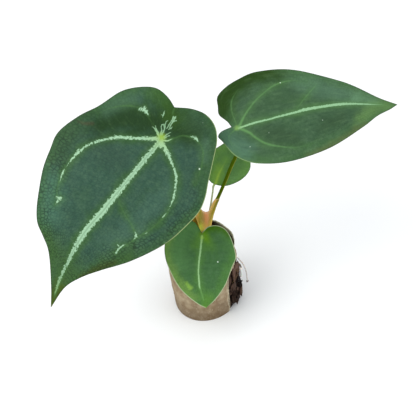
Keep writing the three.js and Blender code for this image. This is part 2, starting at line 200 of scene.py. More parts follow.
def ripple(points, size, seed):
    """Smooth unevenness from about -1 to 1 whose bumps are about size millimetres across.

    It is the sum of nine sine waves that run in random directions: sin(k . p + phase).
    """
    random = np.random.default_rng(seed)
    points = np.asarray(points, float)
    waves = random.normal(size=(9, points.shape[-1]))
    waves *= np.pi / size * random.uniform(0.6, 1.5, (9, 1)) / np.linalg.norm(waves, axis=1, keepdims=True)
    return np.sin(points @ waves.T + random.uniform(0, 2 * np.pi, 9)).sum(-1) / 4


def bell(distance, width):
    """A smooth bump: 1 at no distance, falling as exp(-(distance / width)^2)."""
    return np.exp(-((distance / width) ** 2))


def ease(low, high, value):
    """0 below low, 1 above high, and 3t^2 - 2t^3 between them."""
    t = np.clip((value - low) / (high - low), 0, 1)
    return t * t * (3 - 2 * t)


# %% Grids of points into closed meshes
def grid_triangles(rows, columns, wrap_rows=False, wrap_columns=False):
    """Two triangles for each cell of a grid whose points are numbered row by row.

    They face the side from which the columns turn clockwise as the rows go up.
    """
    i, j = np.meshgrid(
        np.arange(rows if wrap_rows else rows - 1), np.arange(columns if wrap_columns else columns - 1),
        indexing="ij",
    )
    below, above = (i % rows) * columns, ((i + 1) % rows) * columns
    near, far = j % columns, (j + 1) % columns
    a, b, c, d = below + near, above + near, above + far, below + far
    halves = [np.stack(corner, -1).reshape(-1, 3) for corner in ((a, b, c), (a, c, d))]
    return np.concatenate(halves)


def weld(points, triangles):
    """Joins points that lie on each other, and leaves out triangles that this closes up."""
    _, first, joined = np.unique(np.round(points, 3), axis=0, return_index=True, return_inverse=True)
    triangles = joined.reshape(-1)[triangles]
    a, b, c = triangles.T
    return first, triangles[(a != b) & (b != c) & (c != a)]


def add_piece(name, points, triangles, material, node, fields=None):
    """A smooth mesh that rides with the plant and stands for a solid.

    fields gives each point a number or a vector, by name, for the material to read.
    """
    kept, triangles = weld(points, triangles)
    mesh = bpy.data.meshes.new(name)
    mesh.from_pydata((points[kept] * MM).tolist(), [], triangles.tolist())
    mesh.polygons.foreach_set("use_smooth", np.ones(len(triangles), bool))
    for label, values in (fields or {}).items():
        values = np.asarray(values, np.float32)[kept]
        kind, key = ("FLOAT", "value") if values.ndim == 1 else ("FLOAT_VECTOR", "vector")
        mesh.attributes.new(label, kind, "POINT").data.foreach_set(key, values.ravel())
    mesh.materials.append(material)
    piece = new_object(name, mesh)
    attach(piece, "root")
    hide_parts(node)
    print(f"{name}: {len(triangles)} triangles, {np.ptp(points, axis=0).round(1)} mm")
    return piece


# %% [markdown]
# ## Helpers for materials
#
# A material here is a small tree of nodes. Written out in full, each node takes several lines, so a few
# one-word helpers keep a recipe as short as the idea behind it. A node's output knows the tree it stands
# in, so most helpers find the tree by themselves. Two effects that nearly every living or earthy surface
# shares become node groups: a mottle of light and dark at two sizes, and a fine relief.

# %% Node helpers
def wire(tree, node, wires):
    """Gives inputs, by name or number, a plain value or another node's output."""
    for socket, value in wires.items():
        if isinstance(value, bpy.types.NodeSocket):
            tree.links.new(value, node.inputs[socket])
        else:
            node.inputs[socket].default_value = value


def put(tree, kind, wires=None, **settings):
    """Adds a node with its settings and wires its inputs."""
    node = tree.nodes.new(kind)
    for setting, value in settings.items():
        setattr(node, setting, value)
    wire(tree, node, wires or {})
    return node


def tree_of(*values):
    """The node tree of the first value that is a node's output."""
    return next(value.id_data for value in values if isinstance(value, bpy.types.NodeSocket))


def calc(operation, a, b=0.0):
    return put(tree_of(a, b), "ShaderNodeMath", {0: a, 1: b}, operation=operation).outputs[0]


def plus(a, b):
    return calc("ADD", a, b)


def minus(a, b):
    return calc("SUBTRACT", a, b)


def times(a, b):
    return calc("MULTIPLY", a, b)


def vector_calc(operation, a, b):
    """Vector arithmetic. A distance and a dot product are numbers, and the rest are vectors."""
    node = put(tree_of(a, b), "ShaderNodeVectorMath", {0: a, 1: b}, operation=operation)
    return node.outputs["Value" if operation in ("DISTANCE", "DOT_PRODUCT") else "Vector"]


# %% Colours over colours
def mixed(share, a, b):
    """Colour a where the share is 0 and colour b where it is 1."""
    node = put(tree_of(share, a, b), "ShaderNodeMix", {0: share, 6: a, 7: b}, data_type="RGBA")
    return node.outputs[2]


def layer(skin, share, strength, shade):
    """Lays another shade over the skin, at its full strength where the share is 1."""
    return mixed(times(share, strength), skin, shade)


def between(share, a, b):
    """The plain colour that lies that share of the way from colour a to colour b."""
    return tuple(((1 - share) * np.array(a) + share * np.array(b)).tolist())


# %% Values that change over the surface
def eased(value, low, high):
    """0 where the value is at low, 1 where it is at high, with a soft start and end."""
    wires = {"Value": value, "From Min": low, "From Max": high}
    node = put(tree_of(value), "ShaderNodeMapRange", wires, interpolation_type="SMOOTHSTEP")
    return node.outputs["Result"]


def field(tree, name, output="Fac"):
    """What the mesh says about each of its points under that name."""
    return put(tree, "ShaderNodeAttribute", attribute_name=name).outputs[output]


def noise(vector, size, detail=2.0):
    """Clouds of about that size, in the units of the vector."""
    wires = {"Vector": vector, "Scale": 1 / size, "Detail": detail}
    return put(tree_of(vector), "ShaderNodeTexNoise", wires).outputs["Fac"]


def bends(vector, scale):
    """Noise in three directions, to push a place about by."""
    wires = {"Vector": vector, "Scale": scale}
    return put(tree_of(vector), "ShaderNodeTexNoise", wires).outputs["Color"]


def stretched(vector, scale):
    return put(tree_of(vector), "ShaderNodeMapping", {"Vector": vector, "Scale": scale}).outputs["Vector"]


def millimetres(tree):
    """The point's place on the object, in millimetres."""
    return stretched(put(tree, "ShaderNodeTexCoord").outputs["Object"], (1 / MM, 1 / MM, 1 / MM))


def new_material(name):
    material = bpy.data.materials.new(name)
    material.use_nodes = True
    return material, material.node_tree, material.node_tree.nodes["Principled BSDF"]


# %% The two shared effects
def new_group(name, inputs, outputs):
    """A node group with the node that hands in its inputs and the one that takes its outputs."""
    group = bpy.data.node_groups.new(name, "ShaderNodeTree")
    for in_out, sockets in (("INPUT", inputs), ("OUTPUT", outputs)):
        for socket, kind in sockets.items():
            group.interface.new_socket(name=socket, in_out=in_out, socket_type="NodeSocket" + kind)
    return group, group.nodes.new("NodeGroupInput"), group.nodes.new("NodeGroupOutput")


mottle_group, given, wanted = new_group("mottle", {"Vector": "Vector", "Size": "Float"}, {"Value": "Float"})
vector, coarse = given.outputs["Vector"], calc("DIVIDE", 1.0, given.outputs["Size"])
clouds, flecks = (
    put(mottle_group, "ShaderNodeTexNoise", {"Vector": vector, "Scale": scale}).outputs["Fac"]
    for scale in (coarse, times(coarse, 4.3))
)
wire(mottle_group, wanted, {"Value": eased(plus(times(clouds, 0.65), times(flecks, 0.35)), 0.3, 0.7)})

relief_inputs = {"Vector": "Vector", "Size": "Float", "Depth": "Float", "Normal": "Vector"}
relief_group, given, wanted = new_group("relief", relief_inputs, {"Normal": "Vector"})
vector, size, depth, normal = (given.outputs[k] for k in range(4))
grain = {"Vector": vector, "Scale": calc("DIVIDE", 1.0, size), "Detail": 3.0}
grain = put(relief_group, "ShaderNodeTexNoise", grain).outputs["Fac"]
bumps = put(relief_group, "ShaderNodeBump", {"Height": grain, "Distance": depth, "Normal": normal})
wire(relief_group, wanted, {"Normal": bumps.outputs["Normal"]})


def mottle(vector, size):
    """Light and dark clouds with flecks in them, 0 to 1."""
    wires = {"Vector": vector, "Size": size}
    return put(tree_of(vector), "ShaderNodeGroup", wires, node_tree=mottle_group).outputs["Value"]


def relief(vector, size, depth, normal=None):
    """A grain of that size and depth, in millimetres, on top of another normal."""
    tree = tree_of(vector)
    if normal is None:
        normal = put(tree, "ShaderNodeNewGeometry").outputs["Normal"]
    wires = {"Vector": vector, "Size": size, "Depth": depth * MM, "Normal": normal}
    return put(tree, "ShaderNodeGroup", wires, node_tree=relief_group).outputs["Normal"]


print("shared effects:", [group.name for group in bpy.data.node_groups])

# %% [markdown]
# ## The form of a leaf
#
# A blade is one thin living sheet. Modelling it flat and bending it with modifiers would need a fresh
# setup for each leaf, so a formula gives every point at once. Each leaf has its own frame: u runs from
# the petiole point to the tip, v to the left of that, h out of the upper face. A grid row is a straight
# line from the midrib out to the margin, as side veins run, and it sweeps from the notch to the tip.

# %% Sizes of the two large leaves
LARGE_LEAF = {
    "petiole_point": (-12, -12, 132.5), "tip": (-75.5, -60.5, 77.5), "upper_face": (0.1, -0.8, 0.59),
    "left": [
        (-17, -2.2), (-21.2, 5.6), (-22.7, 13), (-20.7, 19.6), (-15.5, 24.5), (-5.5, 28.5), (5, 32),
        (12, 34.5), (18.5, 35.5), (28, 34), (41.5, 30), (57.2, 20.3), (68.8, 9.9), (76.5, 4), (84.5, 0.3),
        (97.5, 0),
    ],
    "right": [
        (-17, -2.2), (-19.2, -7), (-20.1, -13.5), (-18.3, -18.4), (-10.4, -27.3), (3, -33.3), (12.3, -38.5),
        (24.5, -42.5), (33, -41.2), (41.6, -39.3), (52.2, -34.9), (60.3, -30.9), (65.3, -27.3), (69.3, -21.8),
        (73.7, -16.2), (89, -5), (97.5, 0),
    ],
    "bow": -6.5, "bow_skew": 1.4, "half_width": 38, "arch": 6, "fold": 0, "droop": 6,
    "dimple": 1.5, "dimple_radius": 9, "wave": 1.8, "wave_counts": (2.6, 3.1), "wave_phases": (0.4, 1.0),
    "rib": 0.9, "rows": 270, "columns": 71,
}

LONG_LEAF = {
    "petiole_point": (28, 4, 120.5), "tip": (110.5, 5, 120), "upper_face": (0.01, -0.4, 0.92),
    "left": [
        (-3.5, 1.5), (-5, 4.5), (-8.8, 9.6), (-8.7, 14), (-8.1, 19.6), (-2.3, 24.6), (5.1, 27.2), (11, 28.1),
        (18, 27.1), (36.5, 22.6), (55.3, 14.8), (72.6, 4.1), (82.5, 0),
    ],
    "right": [
        (-3.5, 1.5), (-9.5, 0), (-11, -2), (-9.5, -5), (-4, -16), (2.5, -22.3), (10, -25.8), (17.5, -27.4),
        (25.5, -27.1), (42.5, -22.7), (61.1, -13.3), (70.2, -7), (78, -2.9), (82.5, 0),
    ],
    "bow": 2, "bow_skew": 1, "half_width": 28, "arch": 6, "fold": 5, "droop": 2,
    "dimple": 1, "dimple_radius": 6, "wave": 1.2, "wave_counts": (2.5, 2.2), "wave_phases": (0.2, 2.2),
    "rib": 0.8, "rows": 220, "columns": 55,
}

# %% Sizes of the small and the young leaf
SMALL_LEAF = {
    "petiole_point": (2, -14, 66), "tip": (-1.5, -42, 38), "upper_face": (0.1, -0.71, 0.7),
    "left": [
        (-1, 0), (-2.8, 1.7), (-4.1, 3.4), (-4.7, 6.2), (-4.5, 9), (-3, 12.2), (0.5, 15), (9, 17.5),
        (14, 17.6), (18, 15.5), (28, 11), (35.6, 4.9), (39.5, 0),
    ],
    "right": [
        (-1, 0), (-4.3, -1.7), (-7, -3.5), (-7.8, -5.5), (-7.5, -9.3), (-5, -14.3), (0, -18.6), (5, -20.5),
        (10.5, -20.6), (16.5, -19.2), (28.5, -13.3), (37.3, -4), (39.5, 0),
    ],
    "bow": -3, "bow_skew": 1.1, "half_width": 19, "arch": 2.5, "fold": 0, "droop": 2.5,
    "dimple": 0.6, "dimple_radius": 4, "wave": 0.7, "wave_counts": (2.2, 2), "wave_phases": (0, 1.5),
    "rib": 0.5, "rows": 160, "columns": 45,
}

YOUNG_LEAF = {
    "petiole_point": (13.3, 8.5, 81.4), "tip": (33, 22, 104), "upper_face": (0.05, -0.88, 0.47),
    "left": [
        (-0.6, 0), (-0.6, 2.5), (0.9, 5.5), (4, 9.3), (10, 11.4), (15, 10.8), (20, 8.4), (26, 4.6),
        (33.5, 0),
    ],
    "right": [
        (-0.6, 0), (-0.1, -2), (1.6, -5.4), (4, -8), (8.5, -11), (13, -12.3), (17, -12), (21, -9.6),
        (27, -5), (33.5, 0),
    ],
    "bow": 0.8, "bow_skew": 0.7, "half_width": 11.5, "arch": 1.5, "fold": 1.2, "droop": 0.8,
    "dimple": 0.4, "dimple_radius": 3, "wave": 0.4, "wave_counts": (2, 1.8), "wave_phases": (0.5, 1.7),
    "rib": 0.3, "rows": 120, "columns": 35,
}
LEAVES = {"large": LARGE_LEAF, "long": LONG_LEAF, "small": SMALL_LEAF, "young": YOUNG_LEAF}
for which, leaf in LEAVES.items():
    print(which, "leaf: a grid of", leaf["rows"], "by", 2 * leaf["columns"] - 1, "points")

# %% [markdown]
# ## Veins and markings
#
# The silver veins are what this plant is grown for. They are torn-edged bands that start in a burst at
# the petiole, swing out in loops and end in loose flecks. A texture would need a picture. Instead each
# band is a smooth line with a half width at each of its points, and every point of the mesh is told how
# deep inside a band it lies. The material then tears the edge with noise.
#
# Each list holds (u, v, half width) in millimetres. Silver are the bands and faint the thin green veins
# that go on from them: where their half width is below 0, only their soft edge shows. Hairs are the
# finest strokes of the burst, and specks are single pale dots. The knot is the yellow spot over the
# petiole. Strokes says how finely the strokes of painted sheen and painted shade follow each other
# along and across the leaf.

# %% Lines drawn on the large leaf
LARGE_LEAF["silver"] = [
    [(-0.5, 0.2, 0.9), (4, 0.2, 1.0), (8.5, -0.5, 1.1), (17.4, -1.6, 1.05), (26.3, -2.7, 1.15),
     (35.3, -3.8, 1.35), (44.3, -4.6, 1.45), (53.1, -6, 1.4), (60, -6.4, 1.3), (66.5, -6.1, 1.0),
     (71, -5.6, 0.75), (75.4, -5.1, 0.6), (80, -4.5, 0.55), (84, -3.7, 0.5), (88, -2.7, 0.4),
     (91, -1.9, 0.1)],
    [(0, -0.5, 0.9), (3.5, -5.6, 0.85), (6.8, -10.9, 0.6), (9.7, -16.3, 0.65), (13.7, -21, 0.55),
     (18.2, -25.1, 0.45), (23.4, -28.3, 0.45), (26.3, -29.2, 0.65), (29.3, -29.8, 0.55),
     (32.3, -30.1, 0.3), (35.4, -30.3, 0.15), (38.5, -30.2, 0.35), (41.5, -29.5, 0.25),
     (43.5, -28.9, 0.05)],
    [(0, 0.5, 0.9), (2.8, 4.9, 0.9), (5.6, 9.5, 0.6), (8.8, 13.9, 0.45), (10.4, 15.8, 0.6), (12.8, 17.3, 0.5),
     (17.5, 19.7, 0.45), (20, 20.6, 0.5), (22.6, 21.3, 0.35), (25.3, 21.7, 0.2), (28, 21.8, 0.15),
     (30.5, 21.6, 0.25), (33, 21.2, 0.05)],
    [(44, 13.5, 0.15), (45.7, 15.5, 0.5), (48, 15.4, 0.1)],
    [(45.7, 15.5, 0.3), (45.6, 17, 0.1)],
    [(41.5, 19, 0.25), (44, 18, 0.05)],
    [(51.5, 13.4, 0.1), (53.4, 12.3, 0.35), (55.6, 11.7, 0.4), (57.6, 11.7, 0.4)],
    [(53.8, 9.8, 0.15), (54.5, 11.9, 0.35)],
    [(50, -26.2, 0.4), (49, -24.4, 0.4), (50.8, -24.8, 0.5), (53.5, -25, 0.05)],
    [(-7, -16, 0.5), (-7.6, -13.5, 0.8), (-6.5, -10.5, 0.1)],
    [(-9, -14.4, 0.45), (-7.6, -13.3, 0.45)],
    [(-9.3, 12, 0.2), (-9.9, 14.5, 0.6), (-9.2, 16.8, 0.15)],
    [(-0.5, -1, 0.7), (-1.8, -2.6, 0.35), (-2.6, -4.2, 0.15)],
    [(0.5, 1, 1.1), (2, 1.8, 1.4), (3, 2.3, 0.7)],
    [(-0.3, 1.2, 0.5), (-1, 3.4, 0.3), (-3.3, 5, 0.15)],
]
LARGE_LEAF["hairs"] = [
    [(-6.2, 0.1, 0.2), (-9.6, 0.1, 0.2), (-12.6, -0.1, 0.35)],
    [(-7, 0.9, 0.15), (-9.8, 0.8, 0.25), (-12.8, 0.8, 0.55), (-13.6, 0.6, 0.1)],
    [(-10.6, 0.9, 0.3), (-12, 2.1, 0.1)],
    [(-1.5, -0.3, 0.5), (-5, -0.5, 0.28), (-8.3, -1.8, 0.2), (-9.4, -1.6, 0.12)],
    [(-2, -1, 0.5), (-3.8, -1.3, 0.25), (-5.2, -2.5, 0.2), (-6.3, -2.8, 0.2), (-7.1, -2.1, 0.15)],
    [(-5, -0.6, 0.2), (-6, -1.3, 0.15), (-7.1, -2.1, 0.2)],
    [(-2, -2.4, 0.5), (-2.8, -4.9, 0.28), (-2.9, -6.2, 0.12)],
    [(-2.3, -3.3, 0.3), (-4.2, -5.2, 0.12)],
    [(-1.5, 0.9, 0.4), (-3.4, 1.6, 0.22), (-4.8, 2.2, 0.2), (-5.6, 2.9, 0.12)],
    [(-1.5, 1.6, 0.4), (-2.6, 2.3, 0.2), (-4, 3.1, 0.15)],
    [(-6.3, 1.2, 0.2), (-7.2, 1.6, 0.25), (-8.2, 1.9, 0.1)],
    [(-9.6, -4.5, 0.1), (-11, -5, 0.3), (-12.7, -5.4, 0.15)],
    [(-10.2, -4.9, 0.2), (-10.5, -5.8, 0.1)],
]
LARGE_LEAF["faint"] = [
    [(-1, -1.5, 0.1), (-3.5, -5, -0.1), (-5.3, -9.4, -0.2), (-7, -16, -0.1), (-5.3, -21, 0.1),
     (1, -28.3, -0.1), (7, -32, -0.5)],
    [(-13.5, -1.2, -0.1), (-14.6, -1.6, 0.15), (-16.2, -1.9, 0)],
    [(-2, 3.9, 0.2), (-4.5, 6, 0), (-7, 8, 0), (-8.7, 11.4, 0.15), (-9.3, 15.6, 0.1), (-8.3, 19, 0),
     (-5.7, 22, 0.1), (1.5, 25, 0.1), (9, 26.5, -0.4)],
    [(36, -0.7, -0.1), (39.4, 4.7, -0.15), (42, 10, -0.05), (44, 13.4, 0.15)],
    [(75, -5, 0.5), (80, -4.3, 0.4), (86, -2.9, 0.25), (92, -1.4, 0)],
    [(28, 22.4, 0.1), (32, 21.8, 0.1), (38.3, 20, 0), (45.7, 16.3, 0.1), (50, 14.7, 0), (57, 11, -0.1)],
    [(43, -29.6, 0), (47, -28, -0.1), (49.5, -26.5, 0)],
]
LARGE_LEAF["knot"] = (-1.2, 0.3)
LARGE_LEAF["strokes"] = (1.0, 0.3, 1.0)
LARGE_LEAF["specks"] = [(1.6, 24.4, 0.45), (-18.5, 13.7, 0.12), (-5.1, 21.9, 0.15)]
print("large leaf: main silver band", LARGE_LEAF["silver"][0][-1][0], "mm long")

# %% Lines drawn on the other leaves
LONG_LEAF["silver"] = [
    [(0, 0, 0.6), (2.3, 0, 0.5), (8.4, 0, 0.55), (15, -0.1, 0.5), (22, 0.3, 0.55), (29, 0.7, 0.6),
     (34, 1.3, 0.8), (41.8, 1.5, 0.7), (53, 1.7, 0.7), (60, 1.2, 0.5), (68, 0.4, 0.3), (75, -0.1, 0.05)],
]
LONG_LEAF["faint"] = [
    [(0.5, 0.8, 0.65), (2.6, 3.8, 0.4), (4.6, 6.2, 0.25), (6.8, 8.4, 0.15), (10.8, 12, 0.1),
     (15.1, 14.7, 0.05), (19.9, 17.2, 0.1), (23.4, 18.1, 0.15), (29.3, 18.4, -0.1), (34.2, 17.3, -0.25),
     (43, 13.9, -0.6)],
    [(30, 2.5, -0.25), (34.8, 7.3, -0.1), (42.3, 14, -0.15)],
    [(1, -0.8, 0.65), (4.6, -4.8, 0.45), (7.7, -9.7, 0.35), (11.9, -14.3, 0.35), (17.3, -17.4, 0.2),
     (25, -20, -0.1), (36, -19.5, -0.6)],
    [(-0.8, 2.5, -0.15), (-2.1, 9.5, -0.1), (-1.6, 14.2, 0), (-0.4, 16.8, -0.1), (3, 21, -0.4)],
    [(-2, -0.5, 0), (-5.6, -3.6, -0.1), (-5.1, -8.5, -0.2), (-3.4, -13.5, -0.4)],
]
LONG_LEAF["hairs"] = []
LONG_LEAF["knot"] = (-0.9, 0.2)
LONG_LEAF["strokes"] = (0.22, 0.75, 1.0)
LONG_LEAF["specks"] = [(14, -8.2, 0.3), (3.6, -13.5, 0.25), (41.4, -6.7, 0.3), (24.4, 18.3, 0.3)]

SMALL_LEAF["silver"] = [
    [(0.8, 0, 0.5), (1.6, -0.2, 0.55), (4.4, -0.8, 0.5), (9.3, -1.7, 0.5), (14.6, -2.7, 0.45),
     (20, -3.3, 0.4), (24, -3.2, 0.45), (27.4, -3.1, 0.4), (29.5, -2.7, 0.1)],
]
SMALL_LEAF["faint"] = [[(28, -3, 0.35), (31.7, -2, 0.2), (35, -1.2, 0.05)]]
SMALL_LEAF["hairs"] = []
SMALL_LEAF["knot"] = (1.5, -0.1)
SMALL_LEAF["strokes"] = (1.0, 0.2, 1.0)
SMALL_LEAF["specks"] = [(15, 7.5, 0.4)]

YOUNG_LEAF["silver"] = []
YOUNG_LEAF["faint"] = [[(0, 0, 0.6), (2, 0.5, 0.55), (6.4, 1.4, 0.4), (9.5, 1.5, 0.05), (15, 1.8, -0.35)]]
YOUNG_LEAF["hairs"] = []
YOUNG_LEAF["knot"] = (-0.4, 0.1)
YOUNG_LEAF["strokes"] = (1.0, 0.2, 1.0)
YOUNG_LEAF["specks"] = []

for which, leaf in LEAVES.items():
    print(which, "leaf:", *(f"{len(leaf[kind])} {kind}" for kind in ("silver", "faint", "hairs", "specks")))

# %% [markdown]
# Besides veins, the photograph shows soft stains, and patches of painted light and painted shade lie
# among them. The large leaf is olive towards its notch and painted darker there as shade, and it is
# painted bluish and lighter along its left margin and in a few patches as sheen. The small one ages to
# yellow at its left margin and the tip, its left part is painted lighter where the large leaf shades
# it, and its right lobe is painted darker as shade. They are drawn the same way as veins, only with
# wide, soft lines. Each stain or patch is given by its colour, its strength, the softness of its edge
# in millimetres, and its lines.

# %% Soft stains, and patches of painted light and painted shade, on the leaves
LARGE_LEAF["stains"] = [
    # painted sheen: the next two patches are lighter and bluish
    ((84, 118, 96), 0.25, 8, [[(55, 5, 1), (52, 8, 2), (44, 17, 0.5)]]),
    ((84, 120, 102), 0.2, 7, [[(43, 10, 1), (31, 14, 2.5), (18, 17, 2)]]),
    ((46, 70, 56), 0.55, 8, [[(20, -22, 2), (19.5, -16, 3), (19, -11, 2)]]),
    # painted shade: olive towards the notch, and painted darker there
    ((28, 54, 20), 0.9, 9, [
        [(10, -27, 3), (2, -21, 4), (-2, -12, 4), (-6, -6, 4), (-11, -1, 4), (-9, 5, 3), (-11, 12, 2)]]),
    ((50, 84, 22), 0.6, 6, [
        [(-17, -14, 1), (-15, -5, 1.5), (-12, -1, 2), (-14, 4, 1)]]),
    ((46, 74, 44), 0.75, 7, [
        [(-16, 9, 2.5), (-15, 14, 1.5)], [(12, -39, 2), (20, -37, 3), (32, -36, 1.5)]]),
    # painted sheen: lighter, bluish stretches by the margins near the notch
    ((78, 112, 86), 0.45, 5, [
        [(-10.5, 20, 0.5), (-5, 23.5, 1)], [(2, -29, 1.5), (-5, -25, 1.5), (-9, -21, 0.5)]]),
    ((58, 90, 40), 0.6, 9, [
        [(92, 0, 3), (80, 4, 3), (72, -16, 3)], [(80, -6, 2), (68, -24, 2)], [(70, 8, 1), (56, 18, 1)]]),
    # painted sheen: a lighter, bluish patch by the margin
    ((72, 114, 94), 0.45, 9, [
        [(45, -32, 0.5), (50, -30, 2.5), (60, -24, 1)]]),
    ((52, 62, 18), 0.8, 3, [[(62, 13.5, 0.2), (69, 8.5, 0.5), (76, 4, 0.2)]]),
    ((66, 84, 12), 0.9, 5, [[(86, -2, 1), (97, 0, 3)]]),
    ((120, 104, 40), 0.8, 1.5, [[(96.5, 0, 0.3), (97.5, 0, 0.5)]]),
    ((78, 58, 40), 0.4, 1.5, [
        [(14.5, -37, 0.1), (13.6, -34.3, 0.1), (11.4, -31, 0.1)]]),
]
LONG_LEAF["stains"] = [
    ((28, 56, 0), 0.95, 8, [
        [(-7, 9, 2), (-6, 17, 4), (0, 22, 3), (10, 26, 2), (19, 25.5, 1.2), (23, 23, 0.2)]]),
    ((46, 70, 44), 0.65, 7, [
        [(12, -7, 1), (18, -11, 3), (25, -15, 1)], [(42, -10, 1), (50, -7, 0.5)]]),
    ((50, 78, 48), 0.4, 6, [[(10, 6, 1), (20, 9, 2), (30, 8, 1)]]),
    # painted sheen: the next three patches are lighter and bluish
    ((76, 112, 92), 0.6, 7, [[(-8, -2, 2), (-5, -8, 3), (1, -15, 2)]]),
    ((84, 119, 94), 0.42, 7, [[(34, 16.5, 1), (45, 12, 2.5), (56, 6.5, 2)]]),
    ((98, 138, 102), 0.55, 5, [[(60, 4.5, 0.5), (66, 3, 0.8), (71, 1.5, 0.3)]]),
    ((94, 130, 70), 0.6, 6, [[(60, -9, 0.2), (68, -3, 1), (77, -0.5, 1.5)]]),
    ((86, 94, 52), 0.5, 3, [
        [(31, -26, 0.5), (39.5, -23.5, 1), (47.7, -20.5, 1), (54.5, -16.5, 1), (62, -12, 0.5)]]),
]
SMALL_LEAF["stains"] = [
    ((118, 94, 50), 0.9, 1, [[(-1, 0, 0.5), (0, 0, 0.3)]]),
    # painted light: the left part is lighter where the large leaf shades it
    ((88, 134, 78), 0.65, 7, [[(-3.5, -7, 1.5), (2, -12.5, 3), (9, -14.5, 3), (16, -13, 1)]]),
    ((122, 156, 72), 0.5, 4.5, [
        [(1, -17.5, 0.3), (8, -20, 0.6), (15, -18.8, 0.8), (21, -16, 0.8), (28, -12, 0.5), (34, -7, 0.3)]]),
    # painted shade: darker along the right lobe, where its margin curves down
    ((58, 100, 0), 1.0, 3.2, [
        [(-1, 0.6, 0.2), (-3, 3.5, 0.8), (-4, 7, 1.2), (-3.2, 11, 0.8), (0, 14.5, 0.2)]]),
    ((88, 136, 40), 0.5, 5, [
        [(1.5, 1.2, 0.4), (6, 4, 0.8)], [(1.5, -1.2, 0.4), (5, -4, 0.5)], [(39, 0, 0.5), (34, 1, 0.5)]]),
    ((104, 150, 10), 0.7, 3, [[(0.2, 1.4, 0.5), (2.5, 2, 0.5)]]),
    ((138, 182, 70), 0.7, 1.7, [
        [(25.7, -9.9, 0.2), (28, -8, 0.3)], [(39, -2, 0.1), (40, 1, 0.1)]]),
]
YOUNG_LEAF["stains"] = [
    ((118, 160, 58), 0.7, 3.5, [[(0.5, 0, 0.5), (5, 2, 1), (9, 3.5, 0.5)]]),
    # painted highlight: a lighter patch beside the midrib
    ((96, 140, 84), 0.4, 3, [[(6, -6, 0.5), (8.5, -8, 0.8)]]),
    # painted shade: darker along both edges
    ((52, 96, 40), 0.5, 2.5, [
        [(-0.5, -3, 0.3), (3, -8, 0.5), (10, -12, 0.2)], [(0, 5, 0.2), (9, 11.5, 0.2)]]),
]

# %% [markdown]
# Where the blade's edge turns to the light, its thin rim is painted as a pale line, a painted highlight.
# Elsewhere it stays dark. Each pair of numbers below is a stretch of the margin with that painted
# highlight, as shares of the way from the notch to the tip.

# %% Stretches of the rims with a painted highlight
LARGE_LEAF["pale_rim"] = {"left": (0.12, 0.58), "right": (1, 1)}
LONG_LEAF["pale_rim"] = {"left": (1, 1), "right": (0.12, 0.32)}
SMALL_LEAF["pale_rim"] = {"left": (0.02, 0.95), "right": (0.55, 1.0)}
YOUNG_LEAF["pale_rim"] = {"left": (1, 1), "right": (1, 1)}
for which, leaf in LEAVES.items():
    print(which, "leaf:", len(leaf["stains"]), "stains, pale rim at", leaf["pale_rim"])

# %% [markdown]
# ## From lines to a surface
#
# The blade's height adds up what a grower would name: the arch from petiole to tip, the fold or droop of
# both halves, the dimple over the petiole, a waved margin, sunken veins and the slight quilting between
# them. The underside lies 0.4 mm lower, and there the veins stand out as ribs.

# %% The frame of a leaf and the lines on it
THICKNESS = 0.4  # of the blade, millimetres
GROOVE = 0.22  # how deep the main veins are sunk into the upper face
QUILTING = 0.1  # how high the skin bulges between the veins
LINE_STEP = 0.35  # spacing of the points of a drawn line
CHUNK = 40  # points of a line that are compared at once, which keeps the arrays small
NEXT_BAND = 13  # where noise starts on the next band, so that its teeth don't repeat the last one's
FAR = 60.0  # a distance that is further than any vein


def leaf_frame(leaf):
    """The petiole point, the three unit directions along, left and up, and the length to the tip."""
    start = np.array(leaf["petiole_point"], float)
    along = np.array(leaf["tip"], float) - start
    length = np.linalg.norm(along)
    along /= length
    up = np.array(leaf["upper_face"], float)
    up -= along * (up @ along)
    up /= np.linalg.norm(up)
    return start, along, np.cross(up, along), up, length


def midrib_v(leaf, u, length):
    """The midrib bows sideways: v = bow sin(pi x^skew), where x is u as a share of the length."""
    return leaf["bow"] * np.sin(np.pi * np.clip(u / length, 0, 1) ** leaf["bow_skew"])


def nearest_band(lines, u, v):
    """How deep each point (u, v) lies inside the nearest band, which is half width minus distance, how
    far along that band it lies, and the band's half width there."""
    deepest, along, half_width = np.full(u.shape, -FAR), np.zeros(u.shape), np.zeros(u.shape)
    for number, line in enumerate(lines):
        length = np.hypot(*np.diff(np.array(line)[:, :2], axis=0).T).sum()
        shares = np.linspace(0, 1, int(length / LINE_STEP) + 4)
        drawn = smooth_path(line, shares)
        pieces = len(drawn) // CHUNK + 1
        for part, share in zip(np.array_split(drawn, pieces), np.array_split(shares, pieces)):
            depth = part[:, 2] - np.hypot(u[..., None] - part[:, 0], v[..., None] - part[:, 1])
            best = depth.argmax(-1)
            depth = np.take_along_axis(depth, best[..., None], -1)[..., 0]
            along = np.where(depth > deepest, share[best] * length + NEXT_BAND * number, along)
            half_width = np.where(depth > deepest, part[best, 2], half_width)
            deepest = np.maximum(depth, deepest)
    return deepest, along, half_width


def depth_in(lines, u, v):
    return nearest_band(lines, u, v)[0]


# %% The leaf formula
def leaf_grid(leaf):
    """Points of the flat leaf. turn runs from the notch (0) to the tip (1), and edge from the midrib
    (0) to the margin (1). The inner end of a row moves up the midrib as length turn^1.8."""
    length = leaf_frame(leaf)[-1]
    turn = np.linspace(0, 1, leaf["rows"])
    half = np.linspace(0, 1, leaf["columns"])
    half = 0.55 * half + 0.45 * np.sin(np.pi * half / 2)  # closer together towards the margin
    across = np.r_[-half[:0:-1], half]
    edge = np.abs(across)[None, :]
    inner_u = length * turn**1.8
    inner = np.stack([inner_u, midrib_v(leaf, inner_u, length)], -1)[:, None]
    outer = np.where(
        (across >= 0)[None, :, None],
        smooth_path(leaf["left"], turn)[:, None], smooth_path(leaf["right"], turn)[:, None],
    )
    u, v = np.moveaxis(inner + (outer - inner) * edge[..., None], -1, 0)
    return u, v, np.broadcast_to(edge, u.shape), turn[:, None], (across < 0).astype(int)[None, :]


